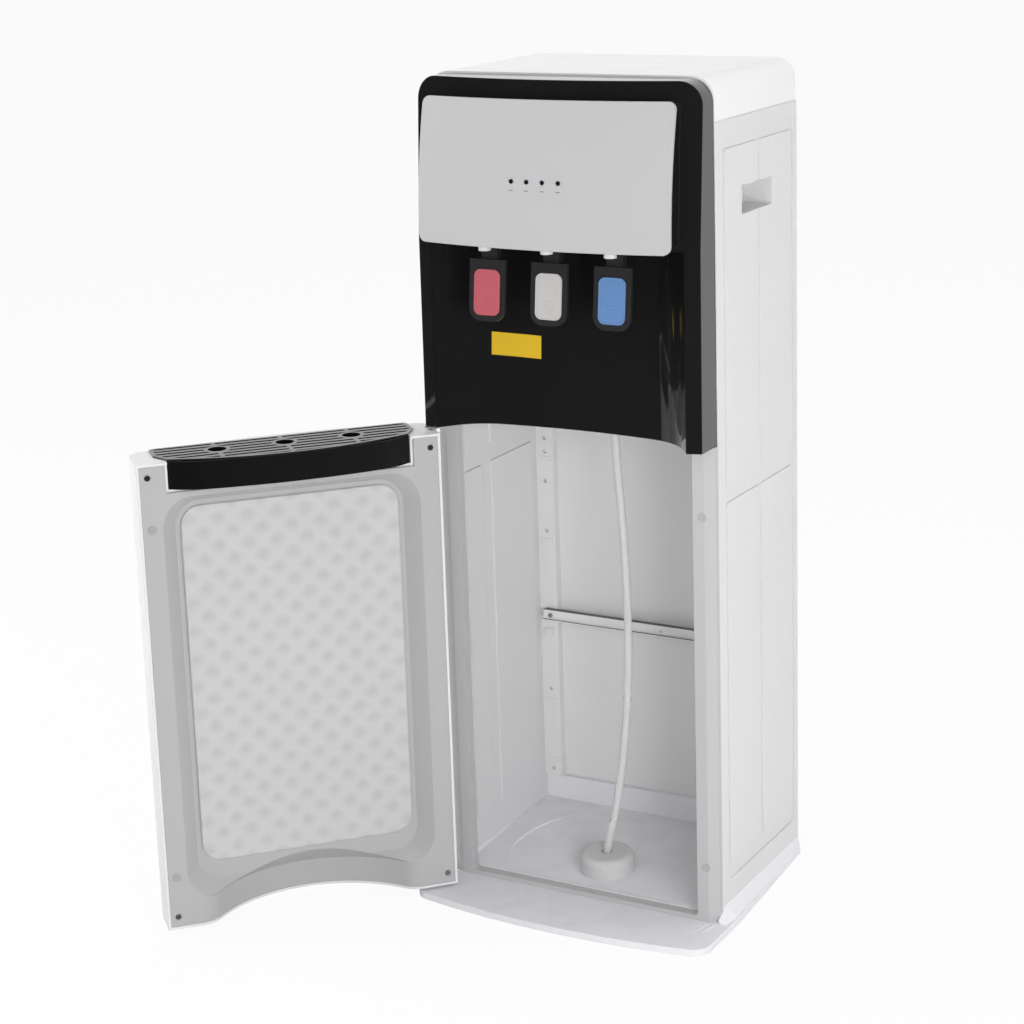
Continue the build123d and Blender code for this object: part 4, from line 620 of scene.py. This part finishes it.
def dimple_shade_mask(tree):
    """Painted shade for the dimples: how deep in a dimple a point lies, worked out in the place
    of the shut door.
    """
    where = split(tree, "ShaderNodeTexCoord", "Object")
    from_x = math_node(tree, "SUBTRACT", where["X"], hinge_x)
    from_y = math_node(tree, "SUBTRACT", where["Y"], hinge_y)
    from_z = math_node(tree, "SUBTRACT", where["Z"], sheet_middle_z)
    turned_x = math_node(tree, "MULTIPLY", from_x, math.cos(door_angle))
    turned_y = math_node(tree, "MULTIPLY", from_y, math.sin(door_angle))
    along = math_node(tree, "ADD", math_node(tree, "SUBTRACT", turned_x, turned_y), hinge_x)
    wide = math_node(tree, "MULTIPLY", along, math.pi / diamond_wide)
    tall = math_node(tree, "MULTIPLY", from_z, math.pi / diamond_tall)
    rise = math_node(tree, "SINE", math_node(tree, "ADD", wide, tall))
    fall = math_node(tree, "SINE", math_node(tree, "SUBTRACT", wide, tall))
    both = math_node(tree, "MULTIPLY", rise, fall)
    return math_node(tree, "MULTIPLY", math_node(tree, "MULTIPLY", both, both), dimple_shade_share)


# The sheet's white is darker than the door shell's, painted shade like the panel's, and the mask
# darkens its dimples with further painted shade.
quilt_plastic = moulded("quilt sheet", (0.57, 0.57, 0.572), 0.42, depth=0.00002, edge=0.0004)
join_colour(quilt_plastic, dimple_shade_mask(quilt_plastic.node_tree), dimple_shade_colour)
quilt_face.data.materials.append(quilt_plastic)
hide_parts("door_quilt_sheet")
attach(quilt_face, "door")


# Drip tray and its slotted grille: both black, the tray duller and the grille smooth enough to
# catch a streak of light.
tray_black = moulded(
    "tray plastic", (0.006, 0.006, 0.0065), 0.42, grain=1000.0, depth=0.00002, edge=0.0009,
)
surface_of(tray_black)["Specular IOR Level"].default_value = 0.3
coat_nodes(tray_black, "drip_tray")
grille_black = moulded(
    "grille plastic", (0.02, 0.02, 0.021), 0.16, grain=1000.0, depth=0.000004, wave=0.00002,
    coat=0.4, edge=0.0004,
)
coat_nodes(grille_black, "drip_grille")


# Rear fittings: a red rocker switch for heating, a green one for cooling and a white plug on
# the drain.
rocker_red = moulded("rocker red", (0.42, 0.02, 0.02), 0.3)
coat_nodes(rocker_red, "rocker_heating")
rocker_green = moulded("rocker green", (0.02, 0.22, 0.05), 0.3)
coat_nodes(rocker_green, "rocker_cooling")
coat_nodes(cap_white, "drain_plug")


# Studio: a pale floor and a white surround that both go dark in the front, as seen in gloss, so
# that the black bezel stays black. Soft lamps stand above, to the left and right, and in front.
pure_white = (1.0, 1.0, 1.0, 1.0)
floor_reach, floor_colour, floor_roughness = 60.0, (0.85, 0.85, 0.85, 1.0), 0.9
floor_shown_share, sky_strength = 0.93, 0.42
gloss_dark, floor_gloss_light, sky_gloss_rear, sky_gloss_above = 0.012, 0.85, 0.9, 0.8


def mixed_shader(tree, mask, below, above):
    """The shader that goes from the one below to the one above with the mask."""
    return place(tree, "ShaderNodeMixShader", ((mask, 0), (below, 1), (above, 2))).outputs[0]


def glow(tree, kind, strength):
    """The white light of an Emission or Background node."""
    return place(tree, kind, ((pure_white, "Color"), (strength, "Strength"))).outputs[0]


floor_mesh = bpy.data.meshes.new("studio_floor")
floor_form = bmesh.new()
bmesh.ops.create_grid(floor_form, x_segments=1, y_segments=1, size=floor_reach)
floor_form.to_mesh(floor_mesh)
floor_form.free()
studio_floor = new_object("studio_floor", floor_mesh)
floor_white = bpy.data.materials.new("floor white")
floor_white.use_nodes = True
floor_tree = floor_white.node_tree
surface_of(floor_white)["Base Color"].default_value = floor_colour
surface_of(floor_white)["Roughness"].default_value = floor_roughness
floor_ray = place(floor_tree, "ShaderNodeLightPath").outputs
floor_skin = floor_tree.nodes["Principled BSDF"].outputs[0]
floor_seen = math_node(floor_tree, "MULTIPLY", floor_ray["Is Camera Ray"], floor_shown_share)
floor_glow = glow(floor_tree, "ShaderNodeEmission", 1.0)
floor_shown = mixed_shader(floor_tree, floor_seen, floor_skin, floor_glow)
floor_place = split(floor_tree, "ShaderNodeTexCoord", "Object")
floor_light = map_range(floor_tree, floor_place["Y"], -0.7, 0.1, gloss_dark, floor_gloss_light)
floor_mirrored = glow(floor_tree, "ShaderNodeEmission", floor_light)
floor_mix = mixed_shader(floor_tree, floor_ray["Is Glossy Ray"], floor_shown, floor_mirrored)
floor_tree.links.new(floor_mix, floor_tree.nodes["Material Output"].inputs["Surface"])
floor_mesh.materials.append(floor_white)

surround = bpy.data.worlds.new("surround")
bpy.context.scene.world = surround
surround.use_nodes = True
sky_tree = surround.node_tree
sky_light = sky_tree.nodes["Background"]
sky_light.inputs["Color"].default_value = pure_white
sky_light.inputs["Strength"].default_value = sky_strength
sky_ray = place(sky_tree, "ShaderNodeLightPath").outputs
sky_seen = glow(sky_tree, "ShaderNodeBackground", 1.0)
sky_first = mixed_shader(sky_tree, sky_ray["Is Camera Ray"], sky_light.outputs[0], sky_seen)
sky_way = split(sky_tree, "ShaderNodeTexCoord", "Generated")
sky_rear = map_range(sky_tree, sky_way["Y"], -0.45, 0.25, gloss_dark, sky_gloss_rear)
sky_above = map_range(sky_tree, sky_way["Z"], 0.5, 0.8, 0.0, sky_gloss_above)
sky_mirrored = math_node(sky_tree, "MAXIMUM", sky_rear, sky_above)
sky_gloss = glow(sky_tree, "ShaderNodeBackground", sky_mirrored)
sky_mix = mixed_shader(sky_tree, sky_ray["Is Glossy Ray"], sky_first, sky_gloss)
sky_tree.links.new(sky_mix, sky_tree.nodes["World Output"].inputs["Surface"])


def softbox(name, at, towards, width, height, power, mirrored):
    """A rectangular area lamp at one point that faces another, seen in gloss or not."""
    lamp = bpy.data.lights.new(name, "AREA")
    lamp.shape = "RECTANGLE"
    lamp.size = width
    lamp.size_y = height
    lamp.energy = power
    holder = new_object(name, lamp)
    holder.visible_glossy = mirrored
    line = Vector(towards) - Vector(at)
    facing = line.to_track_quat("-Z", "Y").to_matrix().to_4x4()
    holder.matrix_world = Matrix.Translation(at) @ facing


softbox("top softbox", (-0.1, 0.1, 3.2), (0.0, 0.0, 0.5), 2.2, 1.6, 27.0, True)
softbox("left softbox", (-3.0, -1.0, 1.4), (0.0, -0.1, 0.45), 1.6, 2.2, 62.0, False)
softbox("right softbox", (2.9, 0.6, 1.4), (0.0, 0.0, 0.5), 1.4, 2.2, 10.0, False)
softbox("front softbox", (1.0, -3.6, 1.3), (0.0, 0.0, 0.4), 2.4, 2.0, 16.0, False)
softbox("near softbox", (1.6, -1.6, 0.75), (-0.16, 0.0, 0.30), 0.9, 0.9, 24.0, False)


# Camera: to the front right and above, tipped a little to one side, with a long lens.
camera_place = (1.2147, -2.3970, 1.2143)
turn, tilt, lean = math.radians(29.595), math.radians(14.157), math.radians(-1.867)
back = Vector((math.sin(turn) * math.cos(tilt), -math.cos(turn) * math.cos(tilt), math.sin(tilt)))
right = Vector((math.cos(turn), math.sin(turn), 0.0))
above = back.cross(right)
side_axis = right * math.cos(lean) + above * math.sin(lean)
up_axis = above * math.cos(lean) - right * math.sin(lean)
lens = bpy.data.cameras.new("camera")
lens.sensor_width = 36.0
lens.lens = 83.2
lens.shift_y = -0.0703
lens.clip_end = 200.0
camera = new_object("camera", lens)
camera_turn = Matrix((side_axis, up_axis, back)).transposed().to_4x4()
camera.matrix_world = Matrix.Translation(camera_place) @ camera_turn
bpy.context.scene.camera = camera
bpy.context.scene.view_settings.view_transform = "Standard"
